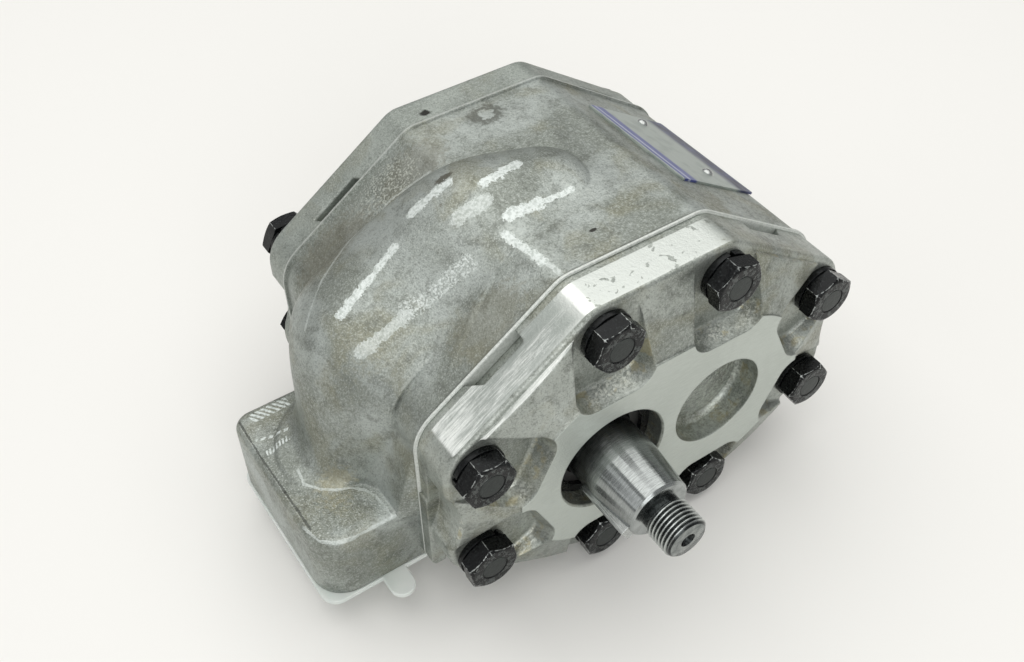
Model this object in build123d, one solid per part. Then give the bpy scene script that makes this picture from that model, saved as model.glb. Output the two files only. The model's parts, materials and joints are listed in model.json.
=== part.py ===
from build123d import *
import os
from math import asin, atan2, cos, degrees, hypot, pi, radians, sin, sqrt, tan

# External gear pump with a side foot for its two ports, in millimetres.
# The shafts lie along Y and the driven end points to -Y. +Z is up and the idler lies towards +X.
# The origin is on the drive shaft's axis, in the plane of the machined land of the front cover.
# Places called "across" and "up" are measured from the line midway between the two gear axes.

# Gears: two equal spur gears, each in one piece with its journals
gear_module = 3.7
gear_teeth = 12
pressure_angle = 25.0
gear_width = 34.0
backlash = 0.16
tip_clearance = 0.06
side_clearance = 0.05
journal_radius = 13.0
journal_chamfer = 1.0
journal_end_clearance = 0.6
journal_running_clearance = 0.03

# Stations along the axis, counted from the land of the front cover
cover_height = 24.2
bolt_seat_depth = 7.8
body_length = 90.7
rear_cover_thickness = 14.0

# Casing outline: an octagon round the gear chamber
side_wall = 33.45
roof_wall = 39.6
floor_wall = 29.6
side_up = 28.3
side_down = 27.5
roof_half_width = 27.6
floor_half_width = 27.0
roof_corner_radius = 11.0
side_corner_radius = 16.0
seam_lip_height = 0.9
seam_lip_width = 1.2

# Cover bolts, M10, placed from the edges of the casing
bolt_radius = 5.0
bolt_head_across_flats = 17.0
bolt_head_height = 6.4
bolt_hole_clearance = 0.5
thread_clearance = 0.03
thread_engagement = 18.0
tapped_hole_spare = 2.0
side_bolt_edge = 12.3
side_bolt_up = 22.0
roof_bolt_across = 23.0
roof_bolt_edge = 12.26
rear_roof_bolt_edge = 20.0
floor_bolt_across = 22.8
floor_bolt_edge = 12.7
washer_thickness = 2.2
washer_radius = 9.0
washer_gap_width = 1.6
head_turns = (24, 8, 41, 17, 52, 33, 12, 46)

# Waists of both covers between their side bolts
waist_depth = 5.0
waist_half_height = 16.0
front_flange = 4.5
rear_flange = 3.0

# Front cover: land, cast shoulder, bolt pockets, shaft bore and blind recess
seal_bore_radius = 20.5
seal_bore_depth = 16.2
bore_chamfer = 0.6
land_beyond_bore = 15.5
cast_below_land = 0.7
shoulder_spread = 29.0
rim_step = 2.0
rim_edge_radius = 1.8
pocket_beyond_bore = 9.0
pocket_half_width = 15.2
pocket_corner_radius = 8.0
pocket_draft = 20.0
pocket_floor_radius = 2.0
recess_radius = 18.1
recess_depth = 10.0
recess_floor_radius = 3.0

# Pry notches at the seams, on the upper slopes
notch_length = 24.0
notch_depth = 5.4
notch_cut = 5.0
rear_notch_length = 20.0
rear_notch_depth = 4.0
rear_notch_skew = 3.0

# Tapered, keyed and threaded end of the drive shaft
taper_start = 7.0
shaft_shoulder = 24.2
taper_ratio = 5.0
shoulder_chamfer = 0.8
stub_radius = 8.0
stub_length = 13.7
stub_chamfer = 1.2
stub_neck_radius = 6.9
stub_neck_width = 2.4
centre_hole_radius = 2.6
centre_hole_depth = 5.0
key_width = 6.0
key_length = 22.0
key_end = 22.4
key_outer_radius = 14.2
key_height = 6.0
key_direction = -150.0
key_side_clearance = 0.02

# Shaft seal and its retaining ring
seal_width = 7.0
seal_wall = 1.6
seal_lip_clearance = 0.05
spring_radius = 0.7
ring_thickness = 1.75
ring_groove_depth = 1.25
ring_width = 4.2
ring_gap_angle = 34.0
ring_slack = 0.1
lug_radius = 3.1
lug_hole_radius = 1.25

# Bearing blocks, bushes and the seals in the blocks' outer faces
block_clearance = 0.03
bush_wall = 1.5
bush_recess = 0.5
block_seal_inset = 2.2
block_seal_width = 2.2
backup_width = 1.2
block_seal_depth = 2.4
seat_clearance = 0.03
relief_slot_width = 4.0
relief_slot_depth = 1.5
relief_slot_offset = 7.0

# Seal rings between the body and its covers, and dowel pins
cover_seal_beyond_chamber = 4.0
cover_seal_width = 2.4
cover_seal_depth = 1.9
dowel_radius = 3.0
dowel_length = 16.0
dowel_beyond_chamber = 18.0

# Cast duct, section by section from the foot to its end in the roof: how far its crest stands out,
# where the crest lies along the axis, and the half widths in front of the crest and behind it
duct_sink = 1.6
duct_root_up = 9.5
duct_root_spread = 1.0
duct_foot_up = 2.2
duct_foot_rise = 23.3
duct_foot_crown = 61.0
duct_foot_front = 19.0
duct_foot_rear = 33.0
duct_side_down = 16.3
duct_side_rise = 17.3
duct_side_crown = 66.0
duct_side_front = 27.0
duct_side_rear = 30.0
duct_shoulder_rise = 12.3
duct_shoulder_crown = 70.5
duct_shoulder_front = 32.0
duct_shoulder_rear = 26.0
duct_slope_rise = 9.0
duct_slope_crown = 74.0
duct_slope_front = 33.0
duct_slope_rear = 24.0
duct_corner_rise = 6.5
duct_corner_crown = 72.0
duct_corner_front = 26.0
duct_corner_rear = 17.0
duct_roof_length = 15.5
duct_roof_rise = 4.5
duct_roof_crown = 69.0
duct_roof_front = 18.0
duct_roof_rear = 15.0
duct_fall_length = 6.5
duct_fall_rise = 3.2
duct_fall_crown = 68.0
duct_fall_front = 14.0
duct_fall_rear = 12.0
duct_end_across = 10.5
duct_end_length = 1.5
duct_end_rise = 1.0
duct_end_dip = 0.7
duct_end_crown = 67.5
duct_end_front = 9.0
duct_end_rear = 8.0

# Web that thickens the side in front of the duct, above the foot
web_thickness = 7.8
web_length = 12.0
web_root = 6.0
web_lead = 1.0
web_swell = 5.0
web_sink = 3.0
flange_foot_width = 5.0
flange_foot_bottom = 36.5

# Foot with the port face, and the ports
foot_reach = 35.6
foot_front = 27.6
foot_length = 68.0
foot_root = 20.0
foot_up = 10.2
foot_thickness = 29.3
foot_front_corner = 12.0
foot_rear_corner = 7.0
foot_edge_radius = 2.0
port_across = 88.0
suction_port_radius = 11.0
suction_port_at = 78.5
pressure_port_radius = 8.0
pressure_port_at = 47.0
port_depth = 14.0
port_seal_radius = 1.2
port_seal_proud = 0.1
port_recess_wall = 0.4
foot_hole_radius = 4.0
foot_hole_depth = 11.0
foot_hole_edge = 9.9
foot_hole_spacing = 39.0

# Passages from the ports to the two sides of the gear mesh
suction_passage_radius = 7.5
pressure_passage_radius = 6.0
suction_port_shift = 3.0
suction_climb_shift = 4.0
suction_climb_at = 76.0
suction_climb_up = 20.0
suction_bend_across = 50.0
suction_bend_at = 74.0
suction_bend_up = 43.0
suction_crown_up = 57.0
suction_end_up = 12.0
pressure_crossing_down = 40.0
pressure_shift = 6.0
pressure_end_down = 10.0

# Transport cover of the port face
cap_thickness = 2.0
cap_gap = 0.3
cap_margin = 0.6
cap_corner_radius = 6.0
cap_plug_clearance = 0.1
cap_plug_short = 0.3
tab_width = 9.0
tab_length = 10.0
tab_from_outer_edge = 20.5

# Plate on the upper slope away from the duct
plate_length = 50.0
plate_width = 47.0
plate_thickness = 0.9
plate_turn = 4.0
plate_along_slope = 36.4
plate_at = 74.0
rivet_radius = 2.3
rivet_head_height = 1.3
rivet_shank_radius = 1.2
rivet_shank_length = 5.0
rivet_spacing = 35.0
rivet_shift = 5.0

# Sizes that follow
gear_centres = gear_module * gear_teeth
mid_x = gear_centres / 2
pitch_radius = gear_module * gear_teeth / 2
tip_radius = pitch_radius + gear_module
root_radius = pitch_radius - 1.25 * gear_module
chamber_radius = tip_radius + tip_clearance
casing_half_width = mid_x + chamber_radius + side_wall
casing_top = chamber_radius + roof_wall
casing_bottom = chamber_radius + floor_wall
front_seam = cover_height
rear_seam = front_seam + body_length
rear_face = rear_seam + rear_cover_thickness
gear_front = front_seam + (body_length - gear_width) / 2
gear_rear = gear_front + gear_width
land_radius = seal_bore_radius + land_beyond_bore
pocket_start = seal_bore_radius + pocket_beyond_bore
port_face = -foot_up - foot_thickness
foot_left = -casing_half_width - foot_reach
foot_rear = foot_front + foot_length
slope_angle = degrees(atan2(casing_top - side_up, casing_half_width - roof_half_width))
slope_length = hypot(casing_top - side_up, casing_half_width - roof_half_width)
stub_end = shaft_shoulder + stub_length
web_front = front_seam + seam_lip_width


# Views and basic shapes

def facing(station):
    """Plane across the pump at a station, seen from the front: its x is +X and its y is +Z."""
    return Plane(origin=(0, station, 0), x_dir=(1, 0, 0), z_dir=(0, -1, 0))


def prism(sketch, front, rear, taper=0.0):
    """Front-view sketch carried from its rear station to its front one, narrowing by taper."""
    return extrude(facing(rear) * sketch, rear - front, taper=taper)


def turned(profile, x=0.0, z=0.0):
    """Solid of revolution about a line along Y, from (radius, station) corners."""
    face = make_face(Polyline(*profile, close=True))
    return Pos(x, 0, z) * revolve(face, Axis.Y)


def rod(start, end, radius):
    """Round bar between two points, with a ball at each end so that elbows run smoothly."""
    a = Vector(*start)
    b = Vector(*end)
    bar = extrude(Plane(origin=a, z_dir=(b - a).normalized()) * Circle(radius), (b - a).length)
    return bar + Pos(a) * Sphere(radius) + Pos(b) * Sphere(radius)


def gear_axes():
    """Across positions of the drive and idler axes in the pump's frame."""
    return (0.0, gear_centres)


def figure_eight(radius):
    """Two overlapping circles round the gear axes."""
    left, right = [Pos(x, 0) * Circle(radius) for x in gear_axes()]
    return left + right


def stadium(radius):
    """Outline that wraps both gear axes at one radius."""
    return Pos(mid_x, 0) * SlotCenterToCenter(gear_centres, 2 * radius)


def corners_at(face, half):
    """Corners of a face at a distance on either side of its middle."""
    return face.vertices().filter_by(lambda v: abs(abs(v.X) - half) < 1e-4)


def casing_outline(inset=0.0):
    """Octagon of the casing with rounded corners."""
    half = casing_half_width
    corners = [
        (half, -side_down), (half, side_up), (roof_half_width, casing_top),
        (-roof_half_width, casing_top), (-half, side_up), (-half, -side_down),
        (-floor_half_width, -casing_bottom), (floor_half_width, -casing_bottom),
    ]
    octagon = make_face(Polyline(*corners, close=True))
    octagon = fillet(octagon.vertices().filter_by(lambda v: abs(v.X) < half - 1), roof_corner_radius)
    octagon = fillet(corners_at(octagon, half), side_corner_radius)
    if inset:
        octagon = offset(octagon, -inset)
    return Pos(mid_x, 0) * octagon


def bolt_places(front=True):
    """Across and up positions of a cover's eight bolts in the pump's frame."""
    side = casing_half_width - side_bolt_edge
    roof = casing_top - (roof_bolt_edge if front else rear_roof_bolt_edge)
    floor = casing_bottom - floor_bolt_edge
    places = []
    for sign in (-1, 1):
        places += [(mid_x + sign * side, side_bolt_up), (mid_x + sign * side, -side_bolt_up)]
        places += [(mid_x + sign * roof_bolt_across, roof)]
        places += [(mid_x + sign * floor_bolt_across, -floor)]
    return places


def dowel_places():
    """Across positions of the two dowels at each seam, level with the gear axes."""
    reach = chamber_radius + dowel_beyond_chamber
    return (-reach, gear_centres + reach)


def nearest_axis(x):
    """The gear axis that a bolt belongs to."""
    return min(gear_axes(), key=lambda axis: abs(axis - x))


def slope_plane(side, along, station, rise=0.0):
    """Plane on an upper slope: its x climbs the slope's run outwards, its y runs to the rear."""
    turn = radians(slope_angle)
    across = roof_half_width + along * cos(turn)
    up = casing_top - along * sin(turn)
    normal = (side * sin(turn), 0, cos(turn))
    origin = (mid_x + side * across + rise * normal[0], station, up + rise * normal[2])
    return Plane(origin=origin, x_dir=(side * cos(turn), 0, -sin(turn)), z_dir=normal)


def notch(side, seam, corners):
    """Cutter for a pry notch on an upper slope, from corners as run down the slope and to the rear."""
    place = slope_plane(side, slope_length / 2, seam)
    outline = Polyline(*[(run, side * offset) for run, offset in corners], close=True)
    return extrude(place * make_face(outline), notch_cut, both=True)


def front_notch(side):
    """The front cover's notch: square at its upper end, its floor rising to the seam at the lower end."""
    half = notch_length / 2
    corners = [(-half, 1), (-half, 1 - notch_depth), (1 - half, -notch_depth), (half / 2, -notch_depth)]
    corners.append((half, 1))
    return notch(side, front_seam, corners)


def rear_notch(side):
    """The rear cover's notch: a straight slot with slanted ends."""
    half = rear_notch_length / 2
    low = half + rear_notch_skew
    corners = [(-half, -1), (half, -1), (low, rear_notch_depth), (low - 2 * half, rear_notch_depth)]
    return notch(side, rear_seam, corners)


def waists(front, rear):
    """Cutters that hollow both sides of a cover between two stations, level with the gear axes."""
    radius = (waist_half_height ** 2 + waist_depth ** 2) / (2 * waist_depth)
    across = casing_half_width - waist_depth + radius
    return [prism(Pos(mid_x + side * across, 0) * Circle(radius), front, rear) for side in (-1, 1)]


def flange_foot():
    """Part of the front seam's outline that hangs below the lower left slope, down to the foot's level."""
    left = -casing_half_width
    low = -flange_foot_bottom
    outer = left + flange_foot_width
    corners = [(left, 0), (left, low + 2), (left + 1.5, low), (outer, low)]
    corners += [(outer + 4, -side_down), (outer + 4, 0)]
    return Pos(mid_x, 0) * make_face(Polyline(*corners, close=True))


# Gears

def involute_point(base, roll, turn):
    """Point of the involute of a base circle at a roll angle, turned about the centre."""
    radius = base * sqrt(1 + roll * roll)
    angle = roll - atan2(roll, 1) + turn
    return radius * cos(angle), radius * sin(angle)


def gear_profile(phase):
    """Spur gear outline with involute flanks; phase is the direction of one tooth, in degrees."""
    base = pitch_radius * cos(radians(pressure_angle))
    involute = tan(radians(pressure_angle)) - radians(pressure_angle)
    half_tooth = pi / (2 * gear_teeth) - backlash / (2 * pitch_radius) + involute
    tip_roll = sqrt((tip_radius / base) ** 2 - 1)
    rolls = [tip_roll * step / 5 for step in range(6)]
    edges = []
    step_angle = 2 * pi / gear_teeth
    for tooth in range(gear_teeth):
        centre = radians(phase) + tooth * step_angle
        right = [involute_point(base, roll, -half_tooth) for roll in rolls]
        left = [(x, -y) for x, y in reversed(right)]
        spin = lambda p, a=centre: (p[0] * cos(a) - p[1] * sin(a), p[0] * sin(a) + p[1] * cos(a))
        right_root = (root_radius * cos(half_tooth), -root_radius * sin(half_tooth))
        left_root = (right_root[0], -right_root[1])
        next_root = spin(right_root, centre + step_angle)
        valley = centre + step_angle / 2
        edges += [
            Line(spin(right_root), spin(right[0])),
            Spline(*[spin(p) for p in right]),
            ThreePointArc(spin(right[-1]), spin((tip_radius, 0)), spin(left[0])),
            Spline(*[spin(p) for p in left]),
            Line(spin(left[-1]), spin(left_root)),
            ThreePointArc(spin(left_root), spin((root_radius, 0), valley), next_root),
        ]
    return make_face(edges)


def gear_blank(phase, x):
    """Toothed part of a gear between its two side faces."""
    return prism(Pos(x, 0) * gear_profile(phase), gear_front, gear_rear)


def journal(x, front, rear):
    """Plain journal with a chamfer at each end."""
    r = journal_radius
    c = journal_chamfer
    profile = [(0, front), (r - c, front), (r, front + c), (r, rear - c), (r - c, rear), (0, rear)]
    return turned(profile, x)


def taper_radius(station):
    """Radius of the shaft's taper at a distance in front of the land."""
    return journal_radius - (station - taper_start) / (2 * taper_ratio)


def key_plane(station):
    """Plane across the shaft with its x along the key's direction."""
    turn = radians(key_direction)
    return Plane(origin=(0, station, 0), x_dir=(cos(turn), 0, sin(turn)), z_dir=(0, -1, 0))


def key_block(side_gap=0.0):
    """The key's block, or with a gap the space cut for it."""
    middle = key_outer_radius - key_height / 2
    outline = Pos(middle, 0) * Rectangle(key_height, key_width + 2 * side_gap)
    return extrude(key_plane(side_gap + key_length - key_end) * outline, key_length + 2 * side_gap)


def drive_gear_shaft():
    """Drive gear with journals, seal journal, 1:5 taper, keyway and threaded stub."""
    front_small = taper_radius(shaft_shoulder)
    end = -shaft_shoulder
    tip = -stub_end
    profile = [
        (0, tip), (stub_radius - stub_chamfer, tip), (stub_radius, tip + stub_chamfer),
        (stub_radius, end - stub_neck_width - 0.8), (stub_neck_radius, end - stub_neck_width),
        (stub_neck_radius, end), (front_small - shoulder_chamfer, end),
        (taper_radius(shaft_shoulder - shoulder_chamfer), end + shoulder_chamfer),
        (journal_radius, -taper_start), (journal_radius, gear_front + 1), (0, gear_front + 1),
    ]
    shaft = turned(profile) + gear_blank(0, 0)
    shaft += journal(0, gear_rear - 1, rear_seam - journal_end_clearance)
    cone = turned([(0, tip - 0.1), (centre_hole_radius + 0.1, tip - 0.1), (0, tip + centre_hole_depth)])
    return shaft - key_block(key_side_clearance) - cone


def idler_gear_shaft():
    """Idler gear with its two journals, turned so that a gap faces the drive gear's tooth."""
    x = gear_centres
    gap_to_drive = 180 + 180 / gear_teeth
    gear = gear_blank(gap_to_drive, x)
    gear += journal(x, front_seam + journal_end_clearance, gear_front + 1)
    return gear + journal(x, gear_rear - 1, rear_seam - journal_end_clearance)


def shaft_key():
    """Square key in the taper, its top face parallel to the axis."""
    key = key_block()
    return chamfer(key.edges().filter_by(Axis.Y), 0.4)


# Bearings and seals inside

def bearing_block(front):
    """Eight-shaped block that carries two bushes; front tells which side of the gears it is on."""
    outer = front_seam + side_clearance if front else rear_seam - side_clearance
    inner = gear_front - side_clearance if front else gear_rear + side_clearance
    low, high = sorted((outer, inner))
    outline = figure_eight(chamber_radius - block_clearance)
    block = prism(outline, low, high)
    for x in gear_axes():
        block -= prism(Pos(x, 0) * Circle(journal_radius + bush_wall), low - 1, high + 1)
    depth = block_seal_depth if front else -block_seal_depth
    block -= prism(ring_band(0, block_seal_width + backup_width), *sorted((outer, outer + depth)))
    slot = Rectangle(relief_slot_width, relief_slot_offset)
    reach = -relief_slot_depth if front else relief_slot_depth
    for side in (-1, 1):
        place = Pos(mid_x, side * (relief_slot_offset + slot_gap()))
        block -= prism(place * slot, *sorted((inner, inner + reach)))
    return block


def slot_gap():
    """Half of the land left between the two relief slots, on the line of centres."""
    return relief_slot_offset / 2


def ring_band(skip, width):
    """Eight-shaped band inside the block's edge, skip in from the seal's outer edge."""
    outer = chamber_radius - block_clearance - block_seal_inset - skip
    return figure_eight(outer) - figure_eight(outer - width)


def block_ring(front, skip, width):
    """Seal or back-up ring that fills its share of a block's groove."""
    outer = front_seam + side_clearance if front else rear_seam - side_clearance
    depth = block_seal_depth - seat_clearance
    low, high = sorted((outer, outer + (depth if front else -depth)))
    return prism(ring_band(skip + seat_clearance, width - 2 * seat_clearance), low, high)


def bush(x, front):
    """Plain bush pressed in a bearing block."""
    low = front_seam + bush_recess if front else gear_rear + side_clearance + bush_recess
    high = gear_front - side_clearance - bush_recess if front else rear_seam - bush_recess
    outer = Circle(journal_radius + bush_wall)
    inner = Circle(journal_radius + journal_running_clearance)
    return prism(Pos(x, 0) * (outer - inner), low, high)


def cover_seal_band(slack):
    """Stadium-shaped band of a cover's seal groove, narrowed by the seal's slack."""
    middle = chamber_radius + cover_seal_beyond_chamber
    half = cover_seal_width / 2 - slack
    return stadium(middle + half) - stadium(middle - half)


def cover_seal(seam, into):
    """Seal ring in a cover's groove; into is -1 for the front cover and 1 for the rear one."""
    stations = sorted((seam, seam + into * (cover_seal_depth - seat_clearance)))
    return prism(cover_seal_band(seat_clearance), *stations)


def shaft_seal():
    """Lip seal: cased outer wall, web at the back and a lip that points into the pump."""
    back = seal_bore_depth
    front = back - seal_width
    outer = seal_bore_radius
    inner = journal_radius + seal_lip_clearance
    web = front + seal_wall
    profile = [
        (outer, front), (outer, back), (outer - seal_wall, back), (outer - seal_wall, web),
        (inner + 2.2, web), (inner + 2.0, back - 2.6), (inner + 2.4, back - 1.2),
        (inner + 1.2, back - 1.0), (inner, back - 2.0), (inner + 0.9, web), (inner + 0.9, front),
    ]
    return turned(profile)


def garter_spring():
    """Spring ring that presses the seal's lip on the shaft."""
    ring = journal_radius + seal_lip_clearance + 2.0 + spring_radius + 0.35
    station = seal_bore_depth - 1.9
    section = Pos(ring, station) * Circle(spring_radius)
    return revolve(section, Axis.Y)


def ring_front():
    """Front station of the retaining ring's groove, in front of the shaft seal."""
    return seal_bore_depth - seal_width - ring_thickness - ring_slack


def seal_retaining_ring():
    """Internal snap ring with an open gap and two drilled lugs."""
    front = ring_front()
    rear = front + ring_thickness
    outer = seal_bore_radius + ring_groove_depth - ring_slack
    band = Circle(outer) - Circle(outer - ring_width)
    half = radians(ring_gap_angle / 2)
    reach = 2 * outer
    corners = [(0, 0), (-reach * sin(half), reach * cos(half)), (reach * sin(half), reach * cos(half))]
    band -= make_face(Polyline(*corners, close=True))
    lug_at = seal_bore_radius - ring_width + 0.6
    for side in (-1, 1):
        turn = side * (half + asin(lug_radius / lug_at))
        place = Pos(lug_at * sin(turn), lug_at * cos(turn))
        band += place * Circle(lug_radius)
        band -= place * Circle(lug_hole_radius)
    return prism(band, front, rear)


# Covers

def bolt_pocket(x, z):
    """Drafted cutter for one bolt's pocket: rounded end towards its gear axis, open at the rim."""
    axis = nearest_axis(x)
    draft = bolt_seat_depth * tan(radians(pocket_draft))
    half = pocket_half_width - draft
    start = pocket_start + draft
    length = casing_half_width
    outline = Pos(start + length / 2, 0) * RectangleRounded(length, 2 * half, pocket_corner_radius - draft)
    turn = degrees(atan2(z, x - axis))
    outline = Pos(axis, 0) * Rot(0, 0, turn) * outline
    cutter = prism(outline, -bolt_seat_depth * 0.2, bolt_seat_depth, taper=-pocket_draft)
    return fillet(cutter.faces().sort_by(Axis.Y)[-1].edges(), pocket_floor_radius)


def front_cover():
    """Front cover casting: rim plate, sloping cast shoulder, flat land and pockets round the bolts."""
    cover = prism(casing_outline(seam_lip_height), bolt_seat_depth, front_seam)
    cover = fillet(cover.faces().sort_by(Axis.Y)[0].edges(), rim_edge_radius)
    shoulder = loft([
        facing(bolt_seat_depth + 1) * stadium(land_radius + shoulder_spread),
        facing(cast_below_land) * stadium(land_radius),
    ])
    cover += shoulder & prism(casing_outline(seam_lip_height + rim_step), 0, bolt_seat_depth + 1)
    cover += prism(stadium(land_radius), 0, bolt_seat_depth)
    for waist in waists(0, front_seam - front_flange):
        cover -= waist
    cover += prism(flange_foot(), front_seam - front_flange, front_seam)
    for x, z in bolt_places():
        cover -= bolt_pocket(x, z)
        cover -= prism(Pos(x, z) * Circle(bolt_radius + bolt_hole_clearance), 0, front_seam + 1)
    r = seal_bore_radius
    bore = [
        (0, -1), (r + bore_chamfer + 1, -1), (r, bore_chamfer), (r, ring_front()),
        (r + ring_groove_depth, ring_front()),
        (r + ring_groove_depth, ring_front() + ring_thickness + ring_slack),
        (r, ring_front() + ring_thickness + ring_slack), (r, seal_bore_depth),
        (journal_radius + 1.5, seal_bore_depth), (journal_radius + 1.5, front_seam + 1),
        (0, front_seam + 1),
    ]
    cover -= turned(bore)
    recess = prism(Pos(gear_centres, 0) * Circle(recess_radius), -1, recess_depth)
    rear_rim = recess.edges().filter_by(GeomType.CIRCLE).sort_by(Axis.Y)[-1]
    cover -= fillet(rear_rim, recess_floor_radius)
    cover -= prism(cover_seal_band(0), front_seam - cover_seal_depth, front_seam)
    for x in dowel_places():
        cover -= prism(Pos(x, 0) * Circle(dowel_radius), front_seam - dowel_length / 2 - 1, front_seam + 1)
    for side in (-1, 1):
        cover -= front_notch(side)
    return cover


def rear_cover():
    """Rear cover: flat plate with a chamfered outer edge, notches and the dowel and seal seats."""
    cover = prism(casing_outline(seam_lip_height), rear_seam, rear_face)
    outer_edges = cover.faces().sort_by(Axis.Y)[-1].edges()
    cover = chamfer(outer_edges, 1.5)
    for waist in waists(rear_seam + rear_flange, rear_face + 1):
        cover -= waist
    for x, z in bolt_places(front=False):
        cover -= prism(Pos(x, z) * Circle(bolt_radius + bolt_hole_clearance), rear_seam - 1, rear_face + 1)
    cover -= prism(cover_seal_band(0), rear_seam, rear_seam + cover_seal_depth)
    for x in dowel_places():
        cover -= prism(Pos(x, 0) * Circle(dowel_radius), rear_seam - 1, rear_seam + dowel_length / 2 + 1)
    for side in (-1, 1):
        cover -= rear_notch(side)
    return cover


# Fasteners and pins

def hex_bolt(x, z, turn, seat, outward, shank_end):
    """Bolt with a chamfered hexagon head; outward is -1 or 1, the way its head points."""
    under = seat + outward * washer_thickness
    top = under + outward * bolt_head_height
    hexagon = RegularPolygon(bolt_head_across_flats / 2, 6, major_radius=False)
    head = prism(Pos(x, z) * Rot(0, 0, turn) * hexagon, *sorted((under, top)))
    flat = bolt_head_across_flats / 2
    corner = flat / cos(pi / 6)
    slope = (corner - flat * 0.96) * tan(radians(30))
    bell = [(0, under), (corner, under), (corner, top - outward * slope), (flat * 0.96, top), (0, top)]
    shank = turned([(0, under), (bolt_radius, under), (bolt_radius, shank_end + outward * 0.8),
                    (bolt_radius - 0.8, shank_end), (0, shank_end)], x, z)
    return (head & turned(bell, x, z)) + shank


def lock_washer(x, z, turn, seat, outward):
    """Split lock washer under a bolt head."""
    stations = sorted((seat, seat + outward * washer_thickness))
    ring = Circle(washer_radius) - Circle(bolt_radius + thread_clearance)
    ring -= Rot(0, 0, turn) * Pos(washer_radius, 0) * Rectangle(2 * washer_radius, washer_gap_width)
    return prism(Pos(x, z) * ring, *stations)


def dowel_pin(x, seam):
    """Dowel pin across a seam."""
    r = dowel_radius - seat_clearance
    half = dowel_length / 2
    c = 0.6
    return turned([(0, seam - half), (r - c, seam - half), (r, seam - half + c), (r, seam + half - c),
                   (r - c, seam + half), (0, seam + half)], x)


# Body

def duct_section(base, heading, rise, crown_at, front_width, rear_width, fade):
    """Section across the duct over a casing point: crisp at the rear, and at the front as soft as fade."""
    turn = radians(heading)
    middle = (mid_x + base[0], crown_at, base[1])
    place = Plane(origin=middle, x_dir=(0, 1, 0), z_dir=(cos(turn), 0, sin(turn)))
    height = rise + duct_sink
    crest = []
    for step in range(-6, 7):
        lean = sin(radians(15 * step))
        bow = cos(radians(15 * step))
        if step < 0:
            bow += fade * ((1 + cos(pi * lean)) / 2 - bow)
        crest.append(((front_width if step < 0 else rear_width) * lean, height * bow - duct_sink))
    root = -duct_sink - 1
    edges = [Spline(*crest), Polyline(crest[-1], (rear_width, root), (-front_width, root), crest[0])]
    return place * make_face(edges)


def duct():
    """Cast duct that climbs from the foot over the slope and sinks into the roof."""
    half = casing_half_width
    side = (-half, side_up - duct_side_down)
    slope = (-half + (half - roof_half_width) * 0.45, side_up + (casing_top - side_up) * 0.45)
    corner = (-roof_half_width, casing_top)
    roof = (duct_end_across - duct_roof_length, casing_top)
    fall = (duct_end_across - duct_fall_length, casing_top)
    last = (duct_end_across - duct_end_length, casing_top)
    spread = duct_root_spread
    foot_crown = duct_foot_crown + spread / 2
    narrower = 2 * duct_end_length
    return loft([
        duct_section((-half, port_face + duct_root_up), 90, duct_foot_rise + spread, duct_foot_crown,
                     duct_foot_front - spread, duct_foot_rear + spread, 0.0),
        duct_section((-half, duct_foot_up - foot_up), 90, duct_foot_rise, foot_crown,
                     duct_foot_front, duct_foot_rear, 0.0),
        duct_section(side, 85, duct_side_rise, duct_side_crown, duct_side_front, duct_side_rear, 0.3),
        duct_section((-half, side_up), 62, duct_shoulder_rise, duct_shoulder_crown,
                     duct_shoulder_front, duct_shoulder_rear, 0.8),
        duct_section(slope, slope_angle, duct_slope_rise, duct_slope_crown,
                     duct_slope_front, duct_slope_rear, 1.0),
        duct_section(corner, 20, duct_corner_rise, duct_corner_crown,
                     duct_corner_front, duct_corner_rear, 1.0),
        duct_section(roof, 0, duct_roof_rise, duct_roof_crown, duct_roof_front, duct_roof_rear, 0.8),
        duct_section(fall, 0, duct_fall_rise, duct_fall_crown, duct_fall_front, duct_fall_rear, 0.5),
        duct_section(last, 0, duct_end_rise, duct_end_crown, duct_end_front, duct_end_rear, 0.3),
        duct_section((duct_end_across, casing_top), 0, -duct_end_dip, duct_end_crown,
                     duct_end_front - narrower, duct_end_rear - narrower, 0.0),
    ])


def web():
    """Web in front of the duct: as thick as the duct's root on the foot, and gone at the shoulder."""
    outer = -casing_half_width - web_thickness
    root = -casing_half_width + web_root
    stations = (web_front, web_front, foot_front, foot_front + web_length, foot_front + 1.6 * web_length,
                foot_front + 2 * web_length)
    low = (root, -casing_half_width - web_lead, outer, outer, outer - web_swell, root)
    high = (root, root - web_lead, root - web_lead, root - 2 * web_lead, root - 4 * web_lead, root)
    levels = []
    for across, up in ((low, -foot_up - web_sink), (high, side_up)):
        outline = Polyline(*zip(across, stations), close=True)
        levels.append(Plane(origin=(mid_x, 0, up)) * make_face(outline))
    return loft(levels, ruled=True)


def foot():
    """Foot with the port face below and large corner radii on its outer side."""
    right = -roof_half_width - foot_root
    width = right - foot_left
    block = Box(width, foot_length, foot_thickness, align=(Align.MIN, Align.MIN, Align.MIN))
    block = Pos(mid_x + foot_left, foot_front, port_face) * block
    outer = block.edges().filter_by(Axis.Z).sort_by(Axis.X)[:2].sort_by(Axis.Y)
    block = fillet(outer[0], foot_front_corner)
    rear_edge = block.edges().filter_by(Axis.Z).sort_by(Axis.X)[:3].sort_by(Axis.Y)[-1]
    block = fillet(rear_edge, foot_rear_corner)
    top = block.faces().sort_by(Axis.Z)[-1]
    top_edges = top.edges().filter_by(lambda e: e.center().X < mid_x + right - 1)
    return fillet(top_edges, foot_edge_radius)


def foot_hole_places():
    """Tapped holes in the port face."""
    left = foot_left + foot_hole_edge
    across = (left, left + foot_hole_spacing)
    along = (foot_front + foot_hole_edge, foot_rear - foot_hole_edge)
    return [(mid_x + x, y) for x in across for y in along]


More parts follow.
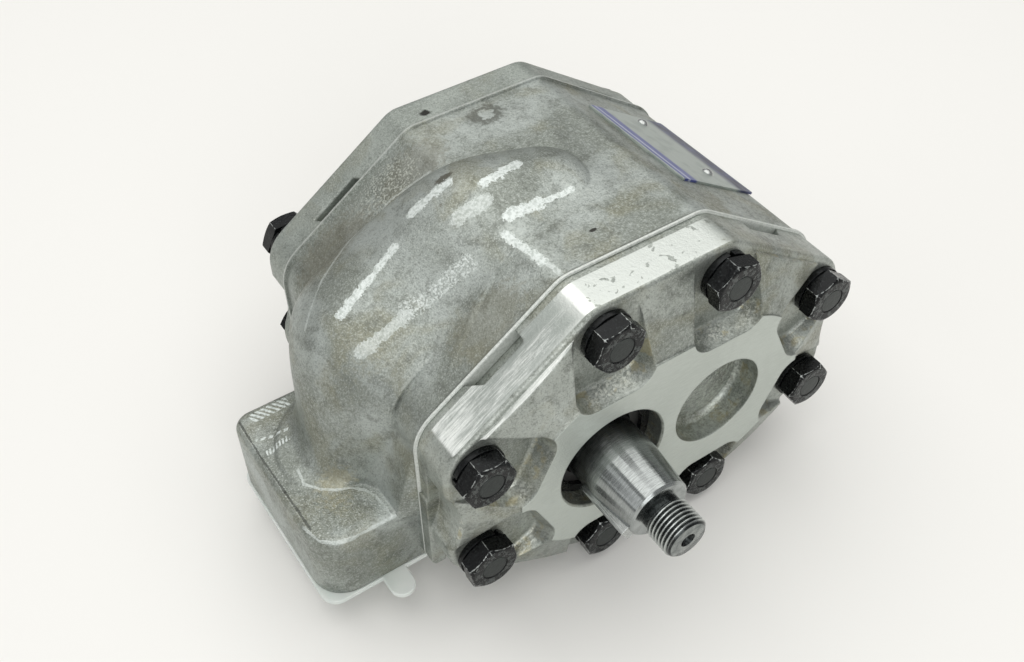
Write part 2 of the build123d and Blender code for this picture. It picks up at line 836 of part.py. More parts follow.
def ports():
    """Radius and station of the pressure port and the suction port."""
    return ((pressure_port_radius, pressure_port_at), (suction_port_radius, suction_port_at))


def recess_outer(radius):
    """Outer radius of the seal ring's recess round a port."""
    return radius + port_recess_wall + 2 * port_seal_radius


def passages():
    """Cored passages: suction over the gears through the duct, pressure under the gears."""
    mesh = (gear_front + gear_rear) / 2
    left = mid_x - port_across
    port_top = port_face + port_depth
    climb = (left + suction_climb_shift, suction_climb_at, suction_climb_up)
    bend = (mid_x - suction_bend_across, suction_bend_at, suction_bend_up)
    crown = (mid_x, mesh, suction_crown_up)
    cores = rod((left + suction_port_shift, suction_port_at, port_top), climb, suction_passage_radius)
    cores += rod(climb, bend, suction_passage_radius)
    cores += rod(bend, crown, suction_passage_radius)
    cores += rod(crown, (mid_x, mesh, suction_end_up), suction_passage_radius)
    crossing = (mid_x, mesh - pressure_shift, -pressure_crossing_down)
    cores += rod((left, pressure_port_at, port_top), crossing, pressure_passage_radius)
    end = (mid_x, mesh - pressure_shift, -pressure_end_down)
    return cores + rod(crossing, end, pressure_passage_radius)


def pump_body():
    """Body casting: octagonal barrel with seam lips, duct, foot, chamber, passages and holes."""
    body = prism(casing_outline(seam_lip_height), front_seam, rear_seam)
    body += prism(casing_outline(), front_seam, front_seam + seam_lip_width)
    body += prism(casing_outline(), rear_seam - seam_lip_width, rear_seam)
    body += duct()
    body += web()
    body += foot()
    body += prism(flange_foot(), front_seam, foot_front + foot_edge_radius)
    body -= prism(figure_eight(chamber_radius), front_seam - 1, rear_seam + 1)
    body -= passages()
    hole = bolt_radius + thread_clearance
    depth = thread_engagement + tapped_hole_spare
    for x, z in bolt_places():
        body -= prism(Pos(x, z) * Circle(hole), front_seam - 1, front_seam + depth)
    for x, z in bolt_places(front=False):
        body -= prism(Pos(x, z) * Circle(hole), rear_seam - depth, rear_seam + 1)
    for x in dowel_places():
        for seam in (front_seam, rear_seam):
            half = dowel_length / 2 + 1
            body -= prism(Pos(x, 0) * Circle(dowel_radius), seam - half, seam + half)
    under = Plane(origin=(0, 0, port_face), z_dir=(0, 0, 1))
    left = mid_x - port_across
    for radius, station in ports():
        body -= extrude(under * Pos(left, station) * Circle(radius), port_depth)
        recess = 2 * port_seal_radius - port_seal_proud
        body -= extrude(under * Pos(left, station) * Circle(recess_outer(radius)), recess)
    for x, y in foot_hole_places():
        body -= extrude(under * Pos(x, y) * Circle(foot_hole_radius), foot_hole_depth)
    for place in rivet_places():
        body -= extrude(place * Circle(rivet_shank_radius + thread_clearance), -rivet_shank_length - 1)
    return body


# Port seals, transport cover and plate

def port_seal(radius, station):
    """Seal ring in the recess round a port."""
    ring = recess_outer(radius) - port_seal_radius - seat_clearance
    level = port_face + port_seal_radius - port_seal_proud
    place = Pos(mid_x - port_across, station, level)
    return place * Torus(ring, port_seal_radius)


def port_cover():
    """Plastic cover: thin plate under the port face, a low plug inside each seal ring and a pull tab."""
    top = port_face - cap_gap
    right = -floor_half_width - (casing_half_width - floor_half_width) * 0.62
    left = foot_left - cap_margin
    width = right - left
    length = foot_length + 2 * cap_margin
    middle = (mid_x + (left + right) / 2, foot_front + foot_length / 2)
    flat = Plane(origin=(0, 0, top - cap_thickness))
    plate = extrude(flat * Pos(*middle) * RectangleRounded(width, length, cap_corner_radius), cap_thickness)
    tab_x = mid_x + left + tab_from_outer_edge + tab_width / 2
    front = foot_front - cap_margin
    tab = Pos(tab_x, front) * Rectangle(tab_width, 2 * (tab_length - tab_width / 2))
    tab += Pos(tab_x, front - tab_length + tab_width / 2) * Circle(tab_width / 2)
    plate += extrude(flat * tab, cap_thickness)
    for radius, station in ports():
        ring_inside = recess_outer(radius) - seat_clearance - 2 * port_seal_radius
        plug = Pos(mid_x - port_across, station) * Circle(ring_inside - cap_plug_clearance)
        height = cap_gap + 2 * port_seal_radius - port_seal_proud - cap_plug_short
        plate += extrude(flat * plug, cap_thickness + height)
    return plate


def plate_plane(rise=0.0):
    """Plane of the plate on the right-hand slope, turned a little as it was riveted on."""
    place = slope_plane(1, plate_along_slope, plate_at, rise - seam_lip_height)
    return place * Rot(0, 0, plate_turn)


def rivet_places():
    """Planes on the casing at the two rivets, one behind the other."""
    middle = rivet_shift / 2
    return [plate_plane() * Pos(rivet_shift, middle + side * rivet_spacing / 2) for side in (-1, 1)]


def nameplate():
    """Thin plate with two rivet holes, its face left bare."""
    sheet = Rectangle(plate_width, plate_length)
    sheet = fillet(sheet.vertices(), 1.0)
    for side in (-1, 1):
        place = Pos(rivet_shift, rivet_shift / 2 + side * rivet_spacing / 2)
        sheet -= place * Circle(rivet_shank_radius + thread_clearance)
    return extrude(plate_plane() * sheet, plate_thickness)


def rivet(place):
    """Round-headed drive rivet through the plate into the casing."""
    r = rivet_radius
    h = rivet_head_height
    ball = (r * r + h * h) / (2 * h)
    head = Sphere(ball)
    head = Pos(0, 0, plate_thickness + h - ball) * head
    keep = Cylinder(r + 1, h + 1, align=(Align.CENTER, Align.CENTER, Align.MIN))
    keep = Pos(0, 0, plate_thickness) * keep
    shank = Cylinder(rivet_shank_radius, rivet_shank_length + plate_thickness + 0.2,
                     align=(Align.CENTER, Align.CENTER, Align.MIN))
    solid = (head & keep) + Pos(0, 0, -rivet_shank_length) * shank
    return location_of(place) * solid


def location_of(place):
    """Location of a plane that may already have been moved."""
    return place.location if isinstance(place, Plane) else place


def group(solids):
    """Separate solids kept in one node."""
    return Compound(children=[s.solid() if hasattr(s, "solid") else s for s in solids])


def nodes():
    """Every sub-part by name."""
    front_end = front_seam + thread_engagement
    rear_end = rear_seam - thread_engagement
    pairs = list(zip(bolt_places(), head_turns))
    rear_pairs = list(zip(bolt_places(front=False), head_turns))
    parts = {
        "pump_body": pump_body(),
        "front_cover": front_cover(),
        "rear_cover": rear_cover(),
        "drive_gear_shaft": drive_gear_shaft(),
        "shaft_key": shaft_key(),
        "idler_gear_shaft": idler_gear_shaft(),
        "shaft_seal": shaft_seal(),
        "seal_garter_spring": garter_spring(),
        "seal_retaining_ring": seal_retaining_ring(),
        "front_cover_seal": cover_seal(front_seam, -1),
        "rear_cover_seal": cover_seal(rear_seam, 1),
        "front_bolts": group([hex_bolt(x, z, t, bolt_seat_depth, -1, front_end) for (x, z), t in pairs]),
        "rear_bolts": group([hex_bolt(x, z, t + 9, rear_face, 1, rear_end) for (x, z), t in rear_pairs]),
        "front_lock_washers": group([lock_washer(x, z, 7 * t, bolt_seat_depth, -1) for (x, z), t in pairs]),
        "rear_lock_washers": group([lock_washer(x, z, 5 * t, rear_face, 1) for (x, z), t in rear_pairs]),
        "dowel_pins": group([dowel_pin(x, y) for x in dowel_places() for y in (front_seam, rear_seam)]),
        "port_cover": port_cover(),
        "nameplate": nameplate(),
        "nameplate_rivets": group([rivet(place) for place in rivet_places()]),
    }
    for name, front in (("front", True), ("rear", False)):
        parts[name + "_bearing_block"] = bearing_block(front)
        parts[name + "_pressure_seal"] = block_ring(front, 0, block_seal_width)
        parts[name + "_backup_ring"] = block_ring(front, block_seal_width, backup_width)
        for gear, x in zip(("drive", "idler"), gear_axes()):
            parts[gear + "_" + name + "_bush"] = bush(x, front)
    for (radius, station), name in zip(ports(), ("pressure", "suction")):
        parts[name + "_port_seal"] = port_seal(radius, station)
    return parts


os.makedirs("parts", exist_ok=True)
for name, solid in nodes().items():
    export_step(solid, f"parts/{name}.step")
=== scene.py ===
"""Looks of the gear pump: cast, machined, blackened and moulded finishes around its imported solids.

Every length in the classes is in millimetres, in the pump's own frame: the origin on the drive axis in the plane of
the front cover's land, -Y out of the driven end, +X towards the idler and +Z up. Meshes are made in metres.
"""

import json
import logging
import math
from dataclasses import dataclass
from enum import Enum

import bmesh
import bpy
import numpy as np
from mathutils import Matrix, Vector

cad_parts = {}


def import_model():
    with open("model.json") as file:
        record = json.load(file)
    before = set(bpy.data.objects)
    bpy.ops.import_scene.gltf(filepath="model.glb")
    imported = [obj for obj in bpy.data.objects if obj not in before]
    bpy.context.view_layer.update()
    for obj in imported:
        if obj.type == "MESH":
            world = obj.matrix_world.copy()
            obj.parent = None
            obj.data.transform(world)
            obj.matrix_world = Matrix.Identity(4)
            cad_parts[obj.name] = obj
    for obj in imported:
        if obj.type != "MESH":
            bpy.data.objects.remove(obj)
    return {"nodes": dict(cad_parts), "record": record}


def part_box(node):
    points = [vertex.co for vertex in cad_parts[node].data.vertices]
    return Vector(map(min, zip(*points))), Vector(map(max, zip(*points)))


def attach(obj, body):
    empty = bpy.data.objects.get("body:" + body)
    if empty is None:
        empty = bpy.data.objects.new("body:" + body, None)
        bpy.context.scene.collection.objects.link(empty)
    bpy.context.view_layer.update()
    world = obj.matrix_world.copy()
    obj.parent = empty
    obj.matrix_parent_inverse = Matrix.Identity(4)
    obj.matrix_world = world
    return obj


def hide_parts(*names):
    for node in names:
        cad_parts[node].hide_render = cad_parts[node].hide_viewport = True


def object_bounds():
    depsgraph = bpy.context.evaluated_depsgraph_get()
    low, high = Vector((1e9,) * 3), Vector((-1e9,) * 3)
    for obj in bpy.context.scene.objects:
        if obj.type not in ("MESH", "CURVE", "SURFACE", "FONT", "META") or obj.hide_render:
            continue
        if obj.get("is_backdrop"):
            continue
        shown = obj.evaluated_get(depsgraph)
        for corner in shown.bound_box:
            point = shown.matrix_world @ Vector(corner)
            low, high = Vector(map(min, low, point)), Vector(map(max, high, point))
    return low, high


log = logging.getLogger("pump")

MM = 0.001
WELD = 1e-6
IDLER_X = 44.4
MIDDLE_X = 22.2


class Body(Enum):
    """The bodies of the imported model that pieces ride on."""

    CASING = "casing"
    DRIVE = "drive"
    IDLER = "idler"
    PORT_CAP = "port_cap"


def linear(colour: str) -> tuple[float, float, float, float]:
    """Turns an sRGB hex colour into linear light.

    Args:
        colour: six hex digits after a hash.

    Returns:
        Red, green, blue and an alpha of 1, all linear.
    """
    values = [int(colour[i:i + 2], 16) / 255 for i in (1, 3, 5)]
    red, green, blue = (v / 12.92 if v <= 0.04045 else ((v + 0.055) / 1.055) ** 2.4 for v in values)
    return red, green, blue, 1.0


def per_size(size_mm: float) -> float:
    """Noise scale, in cells a metre, whose cell is size_mm wide."""
    return 1.0 / (size_mm * MM)


def add_node(tree: bpy.types.NodeTree, kind: str, settings: dict | None = None,
             inputs: dict | None = None) -> bpy.types.Node:
    """Adds a node with its settings, its constants and its links.

    Args:
        tree: the node tree.
        kind: the node's type name.
        settings: properties of the node.
        inputs: for each input, by name or number, an output to link or a value to set.

    Returns:
        The new node.
    """
    node = tree.nodes.new(kind)
    for name, value in (settings or {}).items():
        setattr(node, name, value)
    for name, value in (inputs or {}).items():
        if isinstance(value, bpy.types.NodeSocket):
            tree.links.new(value, node.inputs[name])
        else:
            node.inputs[name].default_value = value
    return node


class Palette:
    """Short ways to write one material's node tree."""

    def __init__(self, name: str) -> None:
        """Starts a material with a Principled shader and object coordinates."""
        self.material = bpy.data.materials.new(name)
        self.material.use_nodes = True
        self.tree = self.material.node_tree
        self.tree.nodes.clear()
        self.shader = add_node(self.tree, "ShaderNodeBsdfPrincipled")
        output = add_node(self.tree, "ShaderNodeOutputMaterial")
        self.tree.links.new(self.shader.outputs[0], output.inputs[0])
        coordinates = add_node(self.tree, "ShaderNodeTexCoord")
        self.place = coordinates.outputs["Object"]
        self.facing = coordinates.outputs["Normal"]

    def noise(self, size_mm: float, detail: float = 3, stretch: tuple[float, float, float] = (1, 1, 1),
              place: bpy.types.NodeSocket | None = None, distortion: float = 0.0) -> bpy.types.NodeSocket:
        """Cloudy pattern from 0 to 1, with cells of size_mm times stretch."""
        where = add_node(self.tree, "ShaderNodeMapping", {"vector_type": "POINT"},
                         {"Vector": place or self.place, "Scale": [1 / s for s in stretch]})
        cloud = add_node(self.tree, "ShaderNodeTexNoise", None,
                         {"Vector": where.outputs[0], "Scale": per_size(size_mm), "Detail": detail,
                          "Distortion": distortion})
        return cloud.outputs["Fac"]

    def sum(self, *terms: bpy.types.NodeSocket | float, kind: str = "ADD") -> bpy.types.NodeSocket:
        """The terms joined two by two by one operation, or the operation on a lone term."""
        total = terms[0]
        if len(terms) == 1:
            return add_node(self.tree, "ShaderNodeMath", {"operation": kind}, {0: total}).outputs[0]
        for term in terms[1:]:
            total = add_node(self.tree, "ShaderNodeMath", {"operation": kind}, {0: total, 1: term}).outputs[0]
        return total

    def ramp(self, value: bpy.types.NodeSocket, low: float, high: float, start: float = 0.0,
             end: float = 1.0) -> bpy.types.NodeSocket:
        """A value from low to high spread smoothly from start to end."""
        spread = add_node(self.tree, "ShaderNodeMapRange", {"interpolation_type": "SMOOTHSTEP"},
                          {"Value": value, "From Min": low, "From Max": high, "To Min": start, "To Max": end})
        return spread.outputs["Result"]

    def mix(self, share: bpy.types.NodeSocket | float, first: bpy.types.NodeSocket | str,
            second: bpy.types.NodeSocket | str) -> bpy.types.NodeSocket:
        """Colour between first and second; a string is an sRGB hex colour."""
        first, second = (linear(c) if isinstance(c, str) else c for c in (first, second))
        node = add_node(self.tree, "ShaderNodeMix", {"data_type": "RGBA"}, {"Factor": share})
        for number, colour in ((6, first), (7, second)):
            if isinstance(colour, bpy.types.NodeSocket):
                self.tree.links.new(colour, node.inputs[number])
            else:
                node.inputs[number].default_value = colour
        return node.outputs[2]

    def blend(self, share: bpy.types.NodeSocket, first: bpy.types.NodeSocket | float,
              second: bpy.types.NodeSocket | float) -> bpy.types.NodeSocket:
        """Number between first and second."""
        node = add_node(self.tree, "ShaderNodeMix", {"data_type": "FLOAT"}, {"Factor": share, 2: first, 3: second})
        return node.outputs[0]

    def local(self, centre: Vector, along: Vector, across: Vector,
              half: tuple[float, float, float]) -> bpy.types.NodeSocket:
        """Coordinates of a box on the piece: 0 at its centre and 1 at its faces.

        Args:
            centre: the box's middle, in millimetres.
            along: direction of its first axis.
            across: direction of its second axis, made square to the first.
            half: half its size along each axis, in millimetres.
        """
        first = along.normalized()
        third = first.cross(across).normalized()
        second = third.cross(first)
        turn = Matrix((first, second, third)).transposed().to_euler()
        node = add_node(self.tree, "ShaderNodeMapping", {"vector_type": "TEXTURE"},
                        {"Vector": self.place, "Location": centre * MM, "Rotation": turn,
                         "Scale": [h * MM for h in half]})
        return node.outputs[0]

    def length(self, vector: bpy.types.NodeSocket) -> bpy.types.NodeSocket:
        """Length of a vector."""
        return add_node(self.tree, "ShaderNodeVectorMath", {"operation": "LENGTH"}, {0: vector}).outputs["Value"]

    def towards(self, direction: Vector) -> bpy.types.NodeSocket:
        """How far the surface faces a direction, from -1 to 1."""
        node = add_node(self.tree, "ShaderNodeVectorMath", {"operation": "DOT_PRODUCT"},
                        {0: self.facing, 1: direction.normalized()})
        return node.outputs["Value"]

    def part(self, axis: str, place: bpy.types.NodeSocket | None = None) -> bpy.types.NodeSocket:
        """One coordinate of a place, X, Y or Z."""
        return add_node(self.tree, "ShaderNodeSeparateXYZ", None, {0: place or self.place}).outputs[axis]

    def capsule(self, start: Vector, end: Vector, across: Vector) -> bpy.types.NodeSocket:
        """Distance from a line between two points, in millimetres; off its plane it counts a third."""
        along = end - start
        place = self.local((start + end) / 2, along, across, (1, 1, 3))
        parts = add_node(self.tree, "ShaderNodeSeparateXYZ", None, {0: place})
        run = self.sum(self.sum(self.sum(parts.outputs["X"], kind="ABSOLUTE"), -along.length / 2), 0.0, kind="MAXIMUM")
        joined = add_node(self.tree, "ShaderNodeCombineXYZ", None,
                          {"X": run, "Y": parts.outputs["Y"], "Z": parts.outputs["Z"]})
        return self.length(joined.outputs[0])

    def rounded(self, radius_mm: float) -> None:
        """Shades the edges and inner corners as if they were rounded by a radius."""
        node = add_node(self.tree, "ShaderNodeBevel", {"samples": 6}, {"Radius": radius_mm * MM})
        self.tree.links.new(node.outputs[0], self.shader.inputs["Normal"])

    def bump(self, height: bpy.types.NodeSocket, depth_mm: float, strength: float = 1.0) -> None:
        """Raises the surface by a height of 0 to 1 times depth_mm, over the bumps already there."""
        node = add_node(self.tree, "ShaderNodeBump", None,
                        {"Height": height, "Distance": depth_mm * MM, "Strength": strength})
        before = self.shader.inputs["Normal"].links
        if before:
            self.tree.links.new(before[0].from_socket, node.inputs["Normal"])
        self.tree.links.new(node.outputs[0], self.shader.inputs["Normal"])

    def set(self, **inputs: bpy.types.NodeSocket | float | tuple) -> None:
        """Sets or links the shader's inputs; an underscore stands for a space."""
        for name, value in inputs.items():
            socket = self.shader.inputs[name.replace("_", " ")]
            if isinstance(value, bpy.types.NodeSocket):
                self.tree.links.new(value, socket)
            else:
                socket.default_value = value


class Finish:
    """A finish makes its material once and hands it out."""

    def material(self) -> bpy.types.Material:
        """The finish's material, made at the first call."""
        name = self.label
        return bpy.data.materials.get(name) or self.build(Palette(name))

    def build(self, palette: Palette) -> bpy.types.Material:
        """Fills the palette; each finish has its own."""
        raise NotImplementedError


@dataclass(frozen=True)
class FiledMarkOrPaintedLight:
    """A stroke on the casting: a bright one that a file or grinder left, or a line painted along an edge, bright as a
    painted highlight or dark as painted shade.
    """

    start: tuple[float, float, float]
    end: tuple[float, float, float]
    half_width: float
    bright: float = 1.0
    flecked: bool = False

    def mask(self, palette: Palette, ragged: bpy.types.NodeSocket, flecks: bpy.types.NodeSocket) -> bpy.types.NodeSocket:
        """Its brightness on the stroke and 0 off it, the edge broken up by the ragged pattern."""
        distance = palette.capsule(Vector(self.start), Vector(self.end), Vector((-0.5, -0.4, 0.8)).cross(
            Vector(self.end) - Vector(self.start)))
        torn = palette.sum(palette.sum(distance, 1 / self.half_width, kind="MULTIPLY"), ragged)
        stroke = palette.ramp(torn, 2.5, 2.62, self.bright, 0.0)
        if self.flecked:
            return palette.sum(stroke, palette.ramp(flecks, 0.47, 0.55), kind="MULTIPLY")
        return stroke


def strokes(points: tuple[tuple[float, float, float], ...], half_width: float, bright: float) -> tuple[FiledMarkOrPaintedLight, ...]:
    """One mark between each point and the next."""
    return tuple(FiledMarkOrPaintedLight(a, b, half_width, bright) for a, b in zip(points, points[1:]))


@dataclass(frozen=True)
class Ticks:
    """A row of short bright tool marks: where it runs, how far apart they are and how long each is."""

    start: tuple[float, float, float]
    end: tuple[float, float, float]
    pitch: float
    reach: float
    lean: float

    def mask(self, palette: Palette, ragged: bpy.types.NodeSocket, flecks: bpy.types.NodeSocket) -> bpy.types.NodeSocket:
        """1 on a tick and 0 off it: a saw along the row, leaning with the distance across it, inside a box."""
        start, end = Vector(self.start), Vector(self.end)
        along = end - start
        local = palette.local((start + end) / 2, along, Vector((0, 0, 1)).cross(along), (1, 1, 1))
        run, across = palette.part("X", local), palette.part("Y", local)
        leaning = palette.sum(run, palette.sum(across, self.lean, kind="MULTIPLY"))
        saw = palette.sum(palette.sum(leaning, 1 / self.pitch, kind="MULTIPLY"), kind="FRACT")
        tick = palette.ramp(palette.sum(saw, palette.sum(ragged, 0.35, kind="MULTIPLY")), 1.0, 1.1)
        for value, limit in ((run, along.length / 2), (across, self.reach), (palette.part("Z", local), 3.0)):
            inside = palette.ramp(palette.sum(value, kind="ABSOLUTE"), limit - 0.4, limit, 1.0, 0.0)
            tick = palette.sum(tick, inside, kind="MULTIPLY")
        return tick


class Outline(Enum):
    """How a spot fills its outline."""

    SOLID = "solid"
    RIM = "rim"
    FLECKED = "flecked"


@dataclass(frozen=True)
class Spot:
    """A stain, pit or witness mark of the mould: its place, its half sizes and its colour."""

    centre: tuple[float, float, float]
    half: tuple[float, float, float]
    colour: str
    share: float = 0.8
    outline: Outline = Outline.SOLID

    def mask(self, palette: Palette, ragged: bpy.types.NodeSocket, flecks: bpy.types.NodeSocket) -> bpy.types.NodeSocket:
        """Its share inside the ragged outline, on the rim alone or on the flecks alone."""
        inside = palette.length(palette.local(Vector(self.centre), Vector((1, 0, 0)), Vector((0, 1, 0)), self.half))
        distance = palette.sum(inside, palette.sum(ragged, 1.2, kind="MULTIPLY"))
        solid = palette.ramp(distance, 1.3, 1.8, self.share, 0.0)
        if self.outline is Outline.RIM:
            return palette.sum(solid, palette.ramp(distance, 0.95, 1.15), kind="MULTIPLY")
        if self.outline is Outline.FLECKED:
            return palette.sum(solid, palette.ramp(flecks, 0.52, 0.6), kind="MULTIPLY")
        return solid


@dataclass(frozen=True)
class CastAluminium(Finish):
    """Cast aluminium: matt grey skin with the mould's fine grain, cloudy tone, olive and dark stains."""

    label: str
    mid: str = "#858a83"
    light: str = "#a2a8a1"
    dark: str = "#565952"
    olive: str = "#84836f"
    grain_mm: float = 0.55
    rough: float = 0.45
    contrast: float = 1.0
    round_mm: float = 1.4
    spots: tuple[Spot, ...] = ()

    def skin(self, palette: Palette) -> tuple[bpy.types.NodeSocket, bpy.types.NodeSocket]:
        """Colour and roughness of the cast skin, with its bumps set."""
        palette.rounded(self.round_mm)
        grain = palette.noise(self.grain_mm, 2)
        sand = palette.noise(self.grain_mm * 2.4, 6, distortion=0.3)
        smears = palette.noise(6, 7, distortion=0.6)
        clouds = palette.noise(24, 4, distortion=0.5)
        stains = palette.noise(17, 7, distortion=0.6)
        share = self.contrast
        colour = palette.mix(palette.ramp(clouds, 0.38, 0.62), self.mid, self.light)
        colour = palette.mix(palette.ramp(stains, 0.48, 0.68, 0.0, 0.8 * share), colour, self.olive)
        colour = palette.mix(palette.ramp(smears, 0.5, 0.72, 0.0, 0.6 * share), colour, self.dark)
        colour = palette.mix(palette.ramp(sand, 0.52, 0.7, 0.0, 0.4 * share), colour, self.dark)
        colour = palette.mix(palette.ramp(sand, 0.48, 0.34, 0.0, 0.3), colour, self.light)
        colour = palette.mix(palette.ramp(grain, 0.52, 0.68, 0.0, 0.42), colour, "#b9beb8")
        colour = palette.mix(palette.ramp(grain, 0.46, 0.32, 0.0, 0.34), colour, self.dark)
        rough = palette.ramp(sand, 0.3, 0.7, self.rough - 0.06, self.rough + 0.1)
        ragged, flecks = palette.noise(1.6, 6, distortion=0.4), palette.noise(0.8, 4)
        for spot in self.spots:
            colour = palette.mix(spot.mask(palette, ragged, flecks), colour, spot.colour)
        palette.bump(palette.noise(7, 2), 0.3, 0.5)
        palette.bump(sand, 0.2, 0.6)
        palette.bump(grain, 0.12, 0.9)
        return colour, rough

    def build(self, palette: Palette) -> bpy.types.Material:
        """The cast skin alone."""
        colour, rough = self.skin(palette)
        palette.set(Base_Color=colour, Metallic=0.7, Roughness=rough)
        return palette.material


@dataclass(frozen=True)
class BodyCasting(CastAluminium):
    """Sand-cast aluminium body: the skin, bare seam lips also painted bright as edge highlights, a sparkling foot top,
    filed strokes, edges painted bright as highlights and a foot edge painted dark as shade.
    """

    marks: tuple[FiledMarkOrPaintedLight | Ticks, ...] = ()
    painted_shade_lines: tuple[FiledMarkOrPaintedLight, ...] = ()
    bare: str = "#d3d9d6"

    def build(self, palette: Palette) -> bpy.types.Material:
        """The skin first, then each local feature over it."""
        colour, rough = self.skin(palette)
        flecks = palette.noise(0.8, 4)
        ragged = palette.sum(palette.sum(palette.noise(1.1, 6, distortion=0.6), 1.6, kind="MULTIPLY"),
                             palette.sum(palette.noise(4.5, 3), 1.8, kind="MULTIPLY"))
        low = palette.ramp(palette.part("Z"), -9.6 * MM, -8.8 * MM, 1.0, 0.0)
        foot_top = palette.sum(palette.ramp(palette.towards(Vector((0, 0, 1))), 0.93, 0.98), low, kind="MULTIPLY")
        crumbs = palette.noise(0.6, 5)
        sparkle = palette.sum(palette.ramp(crumbs, 0.56, 0.7, 0.0, 0.75), foot_top, kind="MULTIPLY")
        colour = palette.mix(sparkle, colour, "#d5dad6")
        # painted shade: dark lines along rounded edges
        for crease in self.painted_shade_lines:
            colour = palette.mix(crease.mask(palette, ragged, flecks), colour, "#3f413d")
        # filed strokes of bare metal and edges painted bright as painted highlights share one mask and one colour
        filed_and_highlit = palette.sum(0.0, 0.0)
        for mark in self.marks:
            filed_and_highlit = palette.sum(filed_and_highlit, mark.mask(palette, ragged, flecks), kind="MAXIMUM")
        bare = palette.mix(palette.ramp(palette.noise(1.1, 3), 0.3, 0.6), "#aeb5b0", self.bare)
        colour = palette.mix(filed_and_highlit, colour, bare)
        seam = palette.part("Y")
        # the seam lips, front and rear: bare machined metal, also painted bright as an edge highlight
        front_edge = palette.ramp(seam, 24.95 * MM, 25.15 * MM, 1.0, 0.0)
        rear_edge = palette.ramp(seam, 114.15 * MM, 114.35 * MM, 0.0, 0.6)
        lips = palette.sum(front_edge, rear_edge, kind="MAXIMUM")
        colour = palette.mix(lips, colour, palette.mix(palette.ramp(flecks, 0.3, 0.7), "#c2c7c1", "#d8dcd7"))
        filed_and_highlit = palette.sum(filed_and_highlit, lips, kind="MAXIMUM")
        palette.set(Base_Color=colour, Metallic=palette.blend(filed_and_highlit, 0.7, 0.3), Roughness=palette.blend(filed_and_highlit, rough, 0.42))
        palette.bump(palette.sum(crumbs, foot_top, kind="MULTIPLY"), 0.3, 0.9)
        return palette.material


